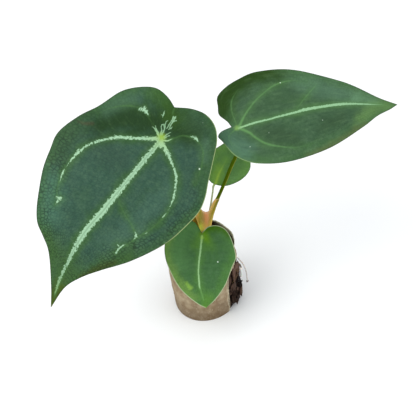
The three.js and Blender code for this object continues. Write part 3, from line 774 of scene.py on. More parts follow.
def leaf_height(leaf, u, v, edge, turn, side):
    """arch 4x(1-x) + fold |y| - droop y^2 + dimple (1 - exp(-r^2)) + wave edge^3 sin(...), where x is
    the share of the length, y the distance from the midrib in half widths, r that from the petiole."""
    length = leaf_frame(leaf)[-1]
    x = u / length
    y = (v - midrib_v(leaf, u, length)) / leaf["half_width"]
    arch = leaf["arch"] * 4 * x * (1 - x)
    fold = leaf["fold"] * (np.sqrt(y * y + 0.02) - np.sqrt(0.02))
    dimple = leaf["dimple"] * (1 - bell(np.hypot(u, v), leaf["dimple_radius"]))
    swell = edge**3 * np.minimum(1, 6 * turn) * (1 - turn**3)
    counts, phases = np.array(leaf["wave_counts"])[side], np.array(leaf["wave_phases"])[side]
    wave = leaf["wave"] * swell * np.sin(2 * np.pi * counts * turn + phases)
    return arch + fold - leaf["droop"] * y * y + dimple + wave


# %% [markdown]
# Both faces use the same grid, and a narrow wall along the margin closes the mesh. What the material has
# to know about a point, such as how deep it lies in the silver, goes into the mesh as a field with a
# name. All fields are worked out on the flat leaf, so the markings bend with it.

# %% What the mesh tells the material
def rim_highlight_share(leaf, turn, side):
    """1 along the stretches of the rim that get a painted highlight and 0 elsewhere, with short soft ends."""
    pale = 0
    for number, which in enumerate(("left", "right")):
        low, high = leaf["pale_rim"][which]
        shown = ease(low - 0.04, low + 0.04, turn) * ease(high + 0.06, high - 0.06, turn)
        pale = np.where(side == number, shown, pale)
    return pale


def blade_fields(leaf, u, v, edge, turn, side):
    """The depth in each kind of line, the gap to the margin and to the midrib's middle line, the place
    on the flat leaf, and the place in its weave, which runs along and across the side veins."""
    silver, run, band = nearest_band(leaf["silver"], u, v)
    outline = [[(*point, 0) for point in leaf[which]] for which in ("left", "right")]
    centre = [[(mu, mv, 0) for mu, mv, _ in line] for line in leaf["silver"][:1]]
    specks = [[(su, sv, size), (su + 0.1, sv, size)] for su, sv, size in leaf["specks"]]
    signed_edge = edge * np.where(side == 0, 1, -1)
    along_weave = turn * 1.3 * leaf_frame(leaf)[-1] + 0 * u
    fields = {
        "silver": silver, "run": run, "band": band, "faint": depth_in(leaf["faint"], u, v),
        "margin": -depth_in(outline, u, v), "pale": rim_highlight_share(leaf, turn, side),
        "centre": -depth_in(centre, u, v), "speck": depth_in(specks, u, v),
        "flat": np.stack([u, v, 0 * u], -1),
        "weave": np.stack([along_weave, signed_edge * leaf["half_width"], 0 * u], -1),
    }
    return fields | {f"stain{k}": depth_in(stain_and_light_patch[-1], u, v) for k, stain_and_light_patch in enumerate(leaf["stains"])}


# %% One closed blade
def blade_triangles(rows, columns):
    """The upper face, the underside, which is turned over, and the walls along both margins."""
    count = rows * columns
    faces = grid_triangles(rows, columns)
    first = np.arange(rows - 1) * columns
    last = first + columns - 1
    walls = [
        (first, first + columns + count, first + columns), (first, first + count, first + columns + count),
        (last, last + columns, last + columns + count), (last, last + columns + count, last + count),
    ]
    return np.concatenate([faces, faces[:, ::-1] + count] + [np.stack(wall, -1) for wall in walls])


def build_blade(name, leaf, material, seed):
    """Sunken veins, exp(gap / 0.9), and quilting shape the upper face, and ribs and a wall that thins
    towards the margin set the underside below it."""
    start, along, left, up, length = leaf_frame(leaf)
    u, v, edge, turn, side = leaf_grid(leaf)
    fields = blade_fields(leaf, u, v, edge, turn, side)
    flat, margin = np.stack([u, v], -1), fields["margin"]
    beyond = np.maximum(fields["silver"], fields["faint"])
    gap = np.minimum(beyond, 0)
    sunk = GROOVE * np.minimum(1, leaf["half_width"] / 25) * np.exp(gap / 0.9) * ease(0, 1.5, margin)
    top = leaf_height(leaf, u, v, edge, turn, side) - sunk
    calm = ease(0, 2, margin) * ease(0, 3, -beyond)
    top += QUILTING * calm * (ripple(flat, 3.2, seed) + 0.5 * ripple(flat, 1.4, seed + 1))
    taper = np.clip(1 - u / length, 0, 1) * ease(-6, 3, u)
    midrib_gap = np.abs(v - midrib_v(leaf, u, length))
    ribs = leaf["rib"] * taper * bell(midrib_gap, 0.9) + 0.35 * np.exp(gap / 0.5) * ease(0, 3, margin)
    wall = THICKNESS * (0.45 + 0.55 * ease(0, 1.2, margin))
    points = np.concatenate([
        (start + u[..., None] * along + v[..., None] * left + h[..., None] * up).reshape(-1, 3)
        for h in (top, top - wall - ribs)
    ])
    both_faces = {}
    for label, values in fields.items():
        shape = (*u.shape, *values.shape[2:])
        both_faces[label] = np.tile(np.broadcast_to(values, shape).reshape(u.size, -1), (2, 1)).squeeze()
    both_faces["upper"] = np.repeat([1.0, 0.0], u.size)
    return add_piece(name, points, blade_triangles(*u.shape), material, name, both_faces)


# %% [markdown]
# ## The leaf's skin
#
# The upper face of this species is dark, matt and velvety. Tiny domed cells scatter light back at the
# eye, which lightens the leaf where it turns away: the shader's sheen does that. Between the veins the
# green is bluish and deep, next to them and at the margin it is fresher, and a net of dark hair-lines
# runs through it. The silver is pale mint with torn edges and a slightly greyer middle. All of it is
# layered by mixing one colour over another, from the ground up.
#
# The silver's edge is torn into fine teeth that slant towards the leaf's margin. Noise is read at a
# place made from how far along the band and how deep in it a point lies, so that its grain slants too.

# %% A node group for torn edges
teeth_group, given, wanted = new_group(
    "torn edge", {"Flat": "Vector", "Run": "Float", "Depth": "Float", "Reach": "Float"}, {"Depth": "Float"}
)
flat, run, depth, reach = (given.outputs[k] for k in range(4))
slanted = {"X": plus(run, times(depth, 1.6)), "Y": times(depth, 0.25)}
slanted = put(teeth_group, "ShaderNodeCombineXYZ", slanted).outputs[0]
teeth = minus(noise(slanted, 0.6, 4.0), 0.5)
bays = minus(noise(flat, 1.1, 3.0), 0.5)
wire(teeth_group, wanted, {"Depth": plus(depth, times(plus(teeth, times(bays, 0.85)), reach))})
print("group for torn edges:", len(teeth_group.nodes), "nodes")

# %% [markdown]
# Hairs finer than the mesh burst from the petiole point towards the notch. A number at each mesh point
# would break them into dots. So the material works out the distance from each short, straight piece of
# a hair itself, exactly, at every point that is lit: the nearest point on the piece lies the share t
# along it, and the hair's half width changes with t.

# %% A node group for one straight piece of a hair
hair_inputs = {"Flat": "Vector", "Start": "Vector", "Course": "Vector", "Wide": "Float", "Narrow": "Float"}
hair_group, given, wanted = new_group("piece of hair", hair_inputs, {"Depth": "Float"})
flat, start, course, wide, narrow = (given.outputs[k] for k in range(5))
from_start = vector_calc("SUBTRACT", flat, start)
ratio = {0: vector_calc("DOT_PRODUCT", from_start, course), 1: vector_calc("DOT_PRODUCT", course, course)}
share = put(hair_group, "ShaderNodeMath", ratio, operation="DIVIDE", use_clamp=True).outputs[0]
foot = put(hair_group, "ShaderNodeVectorMath", {0: course, "Scale": share}, operation="SCALE").outputs[0]
half_width = minus(wide, times(share, minus(wide, narrow)))
wire(hair_group, wanted, {"Depth": minus(half_width, vector_calc("DISTANCE", from_start, foot))})


def depth_in_hairs(flat, hairs):
    """The deepest that a point lies in any of the hairs, each of which is a chain of straight pieces."""
    deepest = None
    for hair in hairs:
        for (u0, v0, wide), (u1, v1, narrow) in zip(hair, hair[1:]):
            wires = {"Flat": flat, "Start": (u0, v0, 0), "Course": (u1 - u0, v1 - v0, 0)}
            wires |= {"Wide": wide, "Narrow": narrow}
            depth = put(tree_of(flat), "ShaderNodeGroup", wires, node_tree=hair_group).outputs["Depth"]
            deepest = depth if deepest is None else calc("MAXIMUM", deepest, depth)
    return deepest


print("group for hairs:", len(hair_group.nodes), "nodes")

# %% [markdown]
# The recipe needs a few numbers for each leaf. Deep and fresh are the two greens, silver and faint the
# two kinds of vein, spot is the knot's yellow and rim the colour of the painted highlight on the edge.
# Stripe says how grey the silver's middle is, net how strong the dark net is, the strokes' strength how
# strong the strokes of painted sheen and painted shade are, and torn how far noise eats into the
# silver's edge, in millimetres.

# %% The look of each leaf
LARGE_LEAF["look"] = {
    "deep": colour(45, 75, 61), "fresh": colour(50, 84, 46), "silver": colour(153, 191, 155),
    "faint": colour(74, 114, 60), "spot": colour(134, 166, 52), "rim": colour(164, 182, 124),
    "stripe": 0.65, "net": 0.7, "sheen_strokes": 0.05, "torn": 3.3, "sheen": 0.03,
}
LONG_LEAF["look"] = {
    "deep": colour(52, 80, 54), "fresh": colour(60, 94, 54), "silver": colour(142, 184, 140),
    "faint": colour(94, 140, 82), "spot": colour(120, 160, 84), "rim": colour(120, 150, 96),
    "stripe": 0.2, "net": 0.2, "sheen_strokes": 0.08, "torn": 1.0, "sheen": 0.03,
}
SMALL_LEAF["look"] = {
    "deep": colour(58, 98, 54), "fresh": colour(70, 114, 52), "silver": colour(148, 190, 132),
    "faint": colour(104, 150, 82), "spot": colour(142, 180, 66), "rim": colour(180, 194, 152),
    "stripe": 0.1, "net": 0.25, "sheen_strokes": 0.06, "torn": 0.8, "sheen": 0.02,
}
YOUNG_LEAF["look"] = {
    "deep": colour(84, 126, 66), "fresh": colour(98, 142, 66), "silver": colour(150, 190, 110),
    "faint": colour(150, 184, 70), "spot": colour(156, 182, 62), "rim": colour(90, 120, 60),
    "stripe": 0.0, "net": 0.12, "sheen_strokes": 0.06, "torn": 0.3, "sheen": 0.02,
}
print("looks for the leaves:", *LEAVES)

# %% The green ground, its stains and painted light, and the strokes of painted sheen in the velvet
def ground(tree, leaf, flat, margin, vein_gap):
    """Deep green in the panels between the veins, and fresher green beside them and at the margin, under the
    stains and the patches of painted light and shade.
    """
    panel = times(eased(vein_gap, 0.0, 4.5), eased(margin, 0.5, 8.0))
    share = plus(times(panel, 0.65), times(mottle(flat, 13.0), 0.45))
    skin = mixed(eased(share, 0.0, 1.0), leaf["look"]["fresh"], leaf["look"]["deep"])
    skin = layer(skin, times(mottle(flat, 6.0), mottle(flat, 2.0)), 0.16, colour(120, 156, 116))
    wander = minus(noise(flat, 5.0), 0.5)
    # stains, and patches of painted light and painted shade, laid one over the other
    for number, (shade, strength, soft, _) in enumerate(leaf["stains"]):
        reach = plus(field(tree, f"stain{number}"), times(wander, soft))
        skin = layer(skin, eased(reach, -soft, 0.3 * soft), strength, colour(*shade))
    return skin


def stroked(leaf, skin, weave):
    """Strokes of painted sheen and, stronger, of painted shade, as when velvet is brushed both ways."""
    strength = leaf["look"]["sheen_strokes"]
    sheen_brush = noise(stretched(weave, leaf["strokes"]), 1.5, 3.0)
    skin = layer(skin, eased(sheen_brush, 0.5, 0.75), strength, colour(120, 156, 104))
    return layer(skin, eased(sheen_brush, 0.5, 0.25), 2.5 * strength, colour(22, 40, 28))


# %% The net of fine veins
def net_cells(weave):
    """How far a point lies from the nearest line between two cells, whose rows noise bends."""
    bent = vector_calc("ADD", weave, bends(weave, 0.35))
    wires = {"Vector": stretched(bent, (1.25, 0.8, 1.0)), "Scale": 0.58, "Randomness": 0.75}
    node = put(tree_of(weave), "ShaderNodeTexVoronoi", wires, feature="DISTANCE_TO_EDGE")
    return node.outputs["Distance"]


def netted(leaf, skin, cells, web, outer, towards_tip):
    """Dark lines, thin ones all over and broad ones near the margin, where the cells are puffed up."""
    net = leaf["look"]["net"]
    place = times(times(calc("MINIMUM", outer, 1.0), net), plus(eased(towards_tip, -5.0, 35.0), 0.35))
    dark_lines = calc("MAXIMUM", times(web, place), times(eased(cells, 0.09, 0.0), 0.5 * net))
    skin = mixed(dark_lines, skin, mixed(0.6, skin, colour(14, 26, 18)))
    puffs = times(eased(cells, 0.18, 0.5), place)
    return layer(skin, puffs, 0.32, mixed(0.45, skin, colour(96, 146, 82)))


# %% Faint veins, silver bands and hairs
FADING = np.array([0.78, 0.98])  # the silver fades between these shares of the leaf's length


def veined(tree, leaf, skin, flat, towards_tip):
    """Lays on the faint veins and then the silver, and also gives where the silver lies."""
    look, silver_depth = leaf["look"], field(tree, "silver")
    unsteady = times(minus(noise(flat, 1.6), 0.5), 0.4)
    skin = layer(skin, eased(plus(field(tree, "faint"), unsteady), -0.7, 0.5), 0.75, look["faint"])
    beside = plus(silver_depth, times(minus(noise(flat, 0.8), 0.5), 1.6))
    skin = layer(skin, eased(beside, -1.3, 0.1), 0.4, between(0.5, look["faint"], look["fresh"]))
    reach = times(eased(field(tree, "band"), 0.0, 0.8), look["torn"])
    wires = {"Flat": flat, "Run": field(tree, "run"), "Depth": silver_depth, "Reach": reach}
    torn = put(tree, "ShaderNodeGroup", wires, node_tree=teeth_group).outputs["Depth"]
    silver_share = eased(torn, -0.1, 0.14)
    middle = eased(plus(field(tree, "centre"), unsteady), 0.6, 0.2)
    band = mixed(times(middle, look["stripe"]), look["silver"], between(0.55, look["silver"], look["fresh"]))
    band = layer(band, mottle(flat, 0.9), 0.45, between(0.4, look["silver"], look["fresh"]))
    fading = eased(towards_tip, *(leaf_frame(leaf)[-1] * FADING))
    band = layer(band, fading, 0.8, between(0.4, look["faint"], look["spot"]))
    return mixed(silver_share, skin, band), silver_share


def haired(leaf, skin, flat):
    """Hairs that noise bends and frays."""
    push = vector_calc("MULTIPLY", vector_calc("SUBTRACT", bends(flat, 0.9), (0.5, 0.5, 0)), (0.9, 0.9, 0))
    ragged = times(minus(noise(flat, 0.45), 0.5), 0.5)
    in_hair = plus(depth_in_hairs(vector_calc("ADD", flat, push), leaf["hairs"]), ragged)
    shade = between(0.42, leaf["look"]["silver"], leaf["look"]["faint"])
    return mixed(eased(in_hair, -0.14, 0.12), skin, shade)


# %% The knot, the specks and the rim
def edged(tree, leaf, skin, flat, margin, silver_share):
    """A yellow knot that tinges the silver round it, specks, and a dark rim that has a painted highlight on
    its pale stretches.
    """
    look, size = leaf["look"], leaf["half_width"] / LARGE_LEAF["half_width"]
    away = vector_calc("DISTANCE", flat, (*leaf["knot"], 0))
    tinge = times(eased(away, 10 * size, 1.5), 0.5)
    skin = mixed(times(tinge, silver_share), skin, between(0.4, look["spot"], look["silver"]))
    knot = plus(away, times(noise(flat, 1.0), 1.6))
    skin = layer(skin, eased(knot, 3.4 * size + 0.7, 0.6), 0.9, look["spot"])
    skin = mixed(eased(field(tree, "speck"), -0.1, 0.1), skin, colour(188, 208, 186))
    edge_line = eased(margin, 0.55, 0.15)
    skin = layer(skin, edge_line, 0.45, colour(50, 54, 26))
    # painted highlight on the rim, where its edge turns to the light
    return layer(skin, edge_line, times(field(tree, "pale"), 0.85), look["rim"])


# %% The whole material of a blade
def leaf_material(name, leaf):
    """The layers from the ground up, the paler underside, and the relief of the net."""
    material, tree, shader = new_material(name)
    flat, weave, margin = field(tree, "flat", "Vector"), field(tree, "weave", "Vector"), field(tree, "margin")
    towards_tip = put(tree, "ShaderNodeSeparateXYZ", {"Vector": flat}).outputs["X"]
    vein_gap = times(calc("MAXIMUM", field(tree, "silver"), field(tree, "faint")), -1.0)
    cells = net_cells(weave)
    web = eased(cells, 0.2, 0.02)
    outer = plus(times(eased(margin, 17.0, 3.0), mottle(flat, 7.0)), times(mottle(flat, 9.0), 0.4))

    skin = stroked(leaf, ground(tree, leaf, flat, margin, vein_gap), weave)
    skin = netted(leaf, skin, cells, web, outer, towards_tip)
    skin, silver_share = veined(tree, leaf, skin, flat, towards_tip)
    if leaf["hairs"]:
        skin = haired(leaf, skin, flat)
    skin = edged(tree, leaf, skin, flat, margin, silver_share)

    under = mixed(times(web, 0.3), colour(110, 134, 90), colour(90, 116, 72))
    under = layer(under, eased(vein_gap, 1.6, 0.2), 0.6, colour(148, 164, 112))
    lines = {"Height": minus(1.0, times(web, outer)), "Distance": 0.05 * MM, "Strength": 0.4}
    lines = put(tree, "ShaderNodeBump", lines).outputs["Normal"]
    wire(tree, shader, {
        "Base Color": mixed(field(tree, "upper"), under, skin),
        "Normal": relief(flat, 0.35, 0.05, lines),
        "Roughness": plus(times(mottle(flat, 13.0), 0.1), 0.5), "Specular IOR Level": 0.1,
        "Sheen Weight": leaf["look"]["sheen"], "Sheen Roughness": 0.4, "Sheen Tint": colour(190, 224, 214),
    })
    return material


# %% Build the four blades
for which, seed in zip(LEAVES, (11, 21, 31, 41)):
    skin = leaf_material(which + " leaf", LEAVES[which])
    slot = "young_blade" if which == "young" else "velvet_blade"
    build_blade(f"blade_{which}_leaf", LEAVES[which], skin, seed)

# %% [markdown]
# ## Stalks
#
# A petiole is a thin, firm stalk with a groove on its upper side. It comes out of a sheath, and just
# under the blade it swells into a knee that lets the leaf turn to the light. Blender's curve bevel could
# draw it, but the swelling, the groove and a colour that differs round the stalk are easier on a swept
# grid: a ring of points is carried along the path, and its radius follows the formula at each step.

# %% Rings swept along a path
def sweep(paths, radii, sides, groove=0.0, ridges=0.0):
    """Closed tubes round paths of shape (tubes, steps, 3), whose radii have shape (tubes, steps).

    A ring point is middle + radius (cos a * side + sin a * front). side is the axis that the path
    crosses most squarely, made square to it. groove presses the tube in round a = -90 degrees, and
    ridges adds that many faint lengthwise folds. Each end closes on a ring of no size.
    """
    paths = np.concatenate([paths[:, :1], paths, paths[:, -1:]], 1)
    radii = np.pad(radii, ((0, 0), (1, 1)))
    course = np.gradient(paths, axis=1)
    course /= np.maximum(np.linalg.norm(course, axis=2, keepdims=True), 1e-9)
    chord = np.abs(paths[:, -1] - paths[:, 0])
    axis = np.eye(3)[chord.argmin(1)][:, None, :]
    side = axis - course * (course * axis).sum(2, keepdims=True)
    side /= np.linalg.norm(side, axis=2, keepdims=True)
    front = np.cross(course, side)
    angle = 2 * np.pi * np.arange(sides) / sides
    shape = 1 - groove * bell(np.abs(np.sin((angle + np.pi / 2) / 2)), 0.35) + 0.02 * np.cos(ridges * angle)
    ring = radii[:, :, None, None] * shape[:, None]
    around = np.cos(angle)[:, None] * side[:, :, None] + np.sin(angle)[:, None] * front[:, :, None]
    points = paths[:, :, None] + ring * around
    tubes, steps = radii.shape
    one = grid_triangles(steps, sides, wrap_columns=True)[:, ::-1]
    triangles = (one + (np.arange(tubes) * steps * sides)[:, None, None]).reshape(-1, 3)
    round_it = np.broadcast_to(angle / (2 * np.pi), points.shape[:3]).ravel()
    along_it = np.broadcast_to(np.linspace(0, 1, steps)[:, None], points.shape[:3]).ravel()
    return points.reshape(-1, 3), triangles, {"around": round_it, "along": along_it}


# %% The four petioles
LARGE_PETIOLE = {
    "points": [
        (2.9, 0.3, 57.5), (1.75, 0.2, 64), (0.7, 0.1, 69), (-1.2, 0.4, 75), (-3.9, 1.2, 86), (-7.5, 2.4, 102),
        (-10.8, 2, 114), (-12.2, -0.8, 121.5), (-12.7, -5.4, 127.4),
    ],
    "approach": (3, 0), "radii": (1.2, 1.05, 1.5),
}
LONG_PETIOLE = {
    "points": [
        (6.3, 0, 57.5), (8.1, 0, 64.8), (9.5, 0, 69.3), (11.8, 0.4, 74.5), (14.3, 0.8, 79.6),
        (17.5, 1.6, 86.2), (22.7, 3.2, 97.3), (25.4, 4, 102.6), (27.6, 5.2, 111.5),
    ],
    "approach": (3, 0), "radii": (1.2, 1, 1.4),
}
SMALL_PETIOLE = {
    "points": [(3.2, -1, 50.5), (2.9, -4.2, 53.7), (2.3, -8.4, 59.4)],
    "approach": (3, 0), "radii": (0.9, 0.85, 1),
}
YOUNG_PETIOLE = {
    "points": [(6.6, 1.4, 63), (8.1, 2.2, 68), (9.1, 3.2, 71.2), (10, 4.5, 74), (11.2, 7, 77.4)],
    "approach": (0.9, 2), "radii": (0.5, 0.5, 0.6),
}


def build_petiole(name, petiole, leaf, material):
    """The radius runs from foot to middle to knee, and the end flares into the blade's underside."""
    start, along, _, up, _ = leaf_frame(leaf)
    down, behind = petiole["approach"]
    seat = start - (GROOVE + 2 * THICKNESS) * up
    below = start - (0.7 + leaf["rib"] + down) * up - behind * along
    share = np.linspace(0, 1, 90)
    path = smooth_path([*petiole["points"], below, seat], share)
    foot, middle, knee = petiole["radii"]
    radius = foot + (middle - foot) * ease(0, 0.4, share) + (knee - middle) * ease(0.8, 0.9, share)
    radius += 0.35 * middle * ease(0.97, 1, share) + 0.02 * ripple(path, 5, 5)
    points, triangles, fields = sweep(path[None], radius[None], 24, groove=0.14, ridges=7)
    return add_piece(name, points, triangles, material, name, fields)


# %% [markdown]
# The stalk's green isn't even: its sunny side is tanned and painted lighter, as if lit, and its other
# side is deep olive and painted darker, as shade. The mesh tells how far round the stalk a point lies,
# so the tan can stay on one side along every bend.

# %% A material for the stalks
def stalk_material(name, olive_with_painted_shade, tan_with_painted_light, foot, knee, glossy):
    """The colours of its two sides come first, deep olive with painted shade and tan with painted light, and
    foot and knee are those of its two ends.
    """
    material, tree, shader = new_material(name)
    place, along = millimetres(tree), field(tree, "along")
    streaks = noise(stretched(place, (1.0, 1.0, 0.12)), 0.5, 3.0)
    # painted light and shade: one side of the stalk is lighter, the other darker
    painted_light_side = minus(times(streaks, 0.4), calc("SINE", times(field(tree, "around"), 2 * np.pi)))
    skin = mixed(eased(painted_light_side, 0.3, 1.0), olive_with_painted_shade, tan_with_painted_light)
    skin = layer(skin, eased(along, 0.38, 0.28), 0.8, foot)
    skin = layer(skin, eased(along, 0.84, 0.97), 0.7, knee)
    skin = layer(skin, mottle(place, 2.0), 0.25, mixed(0.5, skin, knee))
    wire(tree, shader, {
        "Base Color": skin, "Normal": relief(stretched(place, (1.0, 1.0, 0.2)), 0.25, 0.04),
        "Roughness": plus(times(streaks, 0.15), glossy), "Specular IOR Level": 0.02,
    })
    return material


# %% Build the stalks
olive_stalk = stalk_material(
    "olive stalk", colour(68, 90, 2), colour(148, 136, 48), colour(118, 114, 14), colour(82, 102, 10), 0.5,
)
pale_stalk = stalk_material(
    "pale stalk", colour(176, 186, 142), colour(190, 194, 156), colour(184, 190, 140),
    colour(156, 180, 100), 0.4,
)
build_petiole("petiole_large_leaf", LARGE_PETIOLE, LARGE_LEAF, olive_stalk)
build_petiole("petiole_long_leaf", LONG_PETIOLE, LONG_LEAF, olive_stalk)
build_petiole("petiole_small_leaf", SMALL_PETIOLE, SMALL_LEAF, olive_stalk)
build_petiole("petiole_young_leaf", YOUNG_PETIOLE, YOUNG_LEAF, pale_stalk)

# %% [markdown]
# ## Crown and sheaths
#
# The stem of a young plant is hidden by the sheaths of its leaves: flat wings that clasp the stalks and
# meet between them in a smooth saddle. Below they are thick and round, above they are a thin web between
# two stalks. It is a stack of flat ovals with a rib over each stalk, and its top is trimmed along the
# saddle. Two parameters do: the angle round the stack, and the share of the way up to the trimmed top.
# The thin top edge is a second, narrow grid from the front rim to the back rim.

# %% The crown formula
CROWN_SECTIONS = np.array([  # height, left edge, right edge, half thickness of the web
    [40, -2.6, 3.6, 3.0], [47, -1.2, 4.8, 3.2], [54, 0.7, 6.9, 2.9], [60, 0.9, 8.2, 2.1], [66, 0.0, 9.9, 1.0],
    [72, -1.55, 12.0, 0.5], [78, -3.45, 14.75, 0.4],
])
LEFT_RIB = np.array([  # height, middle, radius
    [40, 1.5, 0.3], [57.5, 2.9, 0.9], [64, 1.75, 1.3], [69, 0.7, 1.25], [75, -1.2, 1.2], [78, -2.2, 1.15],
])
RIGHT_RIB = np.array([
    [40, 2.5, 0.3], [57.5, 6.3, 0.9], [64.8, 8.1, 1.3], [69.3, 9.5, 1.2], [74.5, 11.8, 1.15],
    [78, 13.5, 1.12],
])
SADDLE = np.array([  # x, height
    [-3.6, 75.5], [-2.4, 78], [-1.6, 78], [0.4, 76.4], [2.2, 74], [3.3, 71.8], [4.4, 69.6], [5.8, 68.5],
    [7.1, 68.7], [7.9, 69.6], [8.7, 71.5], [9.6, 74], [11.2, 76.5], [12.7, 77.9], [13.6, 78],
    [14.8, 75.5],
])
CROWN_FOOT = 40
CROWN_BROWN = 57.5  # below this height the sheath is brown
NO_RIM = 30.0  # stands for a gap to the rim that is too wide to matter


def rib(line, x, z):
    """A round rod of the given radius along the line, cut level: its half thickness at x."""
    middle, radius = (np.interp(z, line[:, 0], line[:, k]) for k in (1, 2))
    return radius * np.sqrt(np.maximum(1 - ((x - middle) / (1.1 * radius)) ** 2, 0))


def crown_point(angle, z):
    """x = middle + half width cos(angle), y = half thickness, which joins the web and both ribs as
    the root of their squares. The web's profile |sin(angle)|^0.6 is a little boxy."""
    left, right, web = (np.interp(z, CROWN_SECTIONS[:, 0], CROWN_SECTIONS[:, k]) for k in (1, 2, 3))
    x = (left + right) / 2 + (right - left) / 2 * np.cos(angle)
    web = web * np.abs(np.sin(angle)) ** 0.6
    thickness = np.sqrt(web**2 + rib(LEFT_RIB, x, z) ** 2 + rib(RIGHT_RIB, x, z) ** 2)
    thickness *= 1 + 0.012 * np.sin(17 * angle + 0.1 * z) + 0.01 * np.sin(31 * angle)
    front_or_back = np.sign(np.sin(angle)) * ease(0, 0.12, np.abs(np.sin(angle)))
    y = 0.1 + 0.5 * ease(70, 78, z) + thickness * front_or_back
    return np.stack([x, y, np.broadcast_to(z, x.shape)], -1)


def crown_top(angle):
    """The height where the oval at that angle meets the saddle line, found by closing in on it."""
    z = np.full(angle.shape, 72.0)
    for _ in range(80):
        x = crown_point(angle, z)[..., 0]
        z = 0.75 * z + 0.25 * np.interp(x, *SADDLE.T)
    return z


# %% Build the crown's wall and its top edge
CROWN_SIDES, CROWN_RISE, LIP = 280, 90, 7
angle = 2 * np.pi * np.arange(CROWN_SIDES) / CROWN_SIDES
rise = np.linspace(0, 1, CROWN_RISE)[:, None]
top = crown_top(angle)
wall = crown_point(np.broadcast_to(angle, (CROWN_RISE, CROWN_SIDES)), CROWN_FOOT + (top - CROWN_FOOT) * rise)
front_rim = wall[-1, np.arange(CROWN_SIDES // 2, CROWN_SIDES + 1) % CROWN_SIDES]
back_rim = wall[-1, np.arange(CROWN_SIDES // 2, -1, -1)]
step = np.linspace(0, 1, LIP)[:, None, None]
lip = back_rim + (front_rim - back_rim) * step
rim_gap = np.linalg.norm(front_rim - back_rim, axis=1)
lip[..., 2] += 0.12 * np.sin(np.pi * step[..., 0]) * rim_gap
foot = np.broadcast_to(wall[0].mean(0), (1, CROWN_SIDES, 3))
wall_points = np.concatenate([foot, wall]).reshape(-1, 3)
crown_points = np.concatenate([wall_points, lip.reshape(-1, 3)])
crown_triangles = np.concatenate([
    grid_triangles(CROWN_RISE + 1, CROWN_SIDES, wrap_columns=True)[:, ::-1],
    grid_triangles(LIP, CROWN_SIDES // 2 + 1) + len(wall_points),
])
crown_x, crown_z = crown_points[:, 0], crown_points[:, 2]
below_rim = ((1 - rise) * (top - CROWN_FOOT)).ravel()
crown_fields = {
    "rim": np.concatenate([np.full(CROWN_SIDES, NO_RIM), below_rim, np.zeros(lip[..., 0].size)]),
    "right": crown_x - np.interp(crown_z, *RIGHT_RIB[:, :2].T),
}
print("crown from", CROWN_FOOT, "to", crown_z.max().round(1), "mm")

# %% [markdown]
# The sheath is half dry. From its outer edge inwards it turns from golden tan to olive, then to a reddish
# and a pinkish tan, and at the right the stalk's own olive shows through. Its foot is yellow-green. A
# colour ramp holds such a row of zones better than many mixes. It is read along a line that leans as the
# crown does, and fine streaks that run up the crown unsettle the zones' edges.

# %% Colour zones of the sheath
def ramp(value, stops):
    """Runs through the colours, each of which stands at its own value between 0 and 1."""
    node = put(tree_of(value), "ShaderNodeValToRGB", {"Fac": value})
    elements = node.color_ramp.elements
    elements[0].position, elements[0].color = stops[0]
    elements[1].position, elements[1].color = stops[-1]
    for position, shade in stops[1:-1]:
        elements.new(position).color = shade
    return node.outputs["Color"]


UPPER_ZONES = [
    (0.0, colour(214, 168, 86)), (0.12, colour(194, 160, 68)), (0.21, colour(162, 152, 54)),
    (0.33, colour(178, 154, 74)), (0.42, colour(200, 156, 92)), (0.5, colour(228, 152, 92)),
    (0.58, colour(234, 160, 104)), (0.65, colour(242, 176, 122)), (0.76, colour(222, 182, 96)),
]
LOWER_ZONES = [
    (0.0, colour(200, 182, 70)), (0.14, colour(198, 196, 58)), (0.26, colour(218, 222, 82)),
    (0.4, colour(230, 202, 86)), (0.55, colour(240, 188, 104)), (0.8, colour(216, 178, 88)),
]
STALK_ZONES = [(0.1, colour(218, 184, 86)), (0.55, colour(142, 130, 18)), (0.85, colour(112, 112, 10))]
print("zones of the sheath:", len(UPPER_ZONES), "above and", len(LOWER_ZONES), "below")

# %% The sheath's finish
sheath, tree, shader = new_material("sheath")
place = millimetres(tree)
parts = put(tree, "ShaderNodeSeparateXYZ", {"Vector": place}).outputs
height = parts["Z"]
inwards = minus(parts["X"], times(minus(height, 66.0), 0.11))
leaning = {"X": inwards, "Y": parts["Y"], "Z": times(height, 0.06)}
streaks = noise(put(tree, "ShaderNodeCombineXYZ", leaning).outputs[0], 0.7, 4.0)
wander = times(minus(streaks, 0.5), 1.2)
across = times(plus(inwards, wander), 0.1)
right = plus(field(tree, "right"), times(wander, 0.4))
drift = plus(height, times(noise(place, 2.5), 3.0))
skin = mixed(eased(drift, 61.5, 67.0), ramp(across, LOWER_ZONES), ramp(across, UPPER_ZONES))
skin = layer(skin, eased(height, CROWN_BROWN + 1.5, CROWN_BROWN - 1.5), 0.85, colour(150, 102, 58))
stalk_skin = ramp(times(minus(height, 60.0), 0.05), STALK_ZONES)
skin = mixed(eased(right, -1.1, -0.3), skin, stalk_skin)
skin = layer(skin, eased(streaks, 0.62, 0.42), 0.12, colour(132, 88, 36))
skin = layer(skin, eased(field(tree, "rim"), 0.6, 0.1), 0.4, colour(226, 190, 154))
wire(tree, shader, {
    "Base Color": skin, "Normal": relief(stretched(place, (1.0, 1.0, 0.1)), 0.3, 0.06),
    "Roughness": plus(times(streaks, 0.2), 0.4), "Specular IOR Level": 0.15,
    "Subsurface Weight": 0.1, "Subsurface Scale": 1.0 * MM,
})
add_piece("crown", crown_points, crown_triangles, sheath, "crown", crown_fields)

# %% [markdown]
# A dry, dark scale leaf stands at the crown's left. It protected the bud that the leaves came from. It
# is a short lance, hollow towards the crown, and again a stack of ovals, each cupped round the crown.

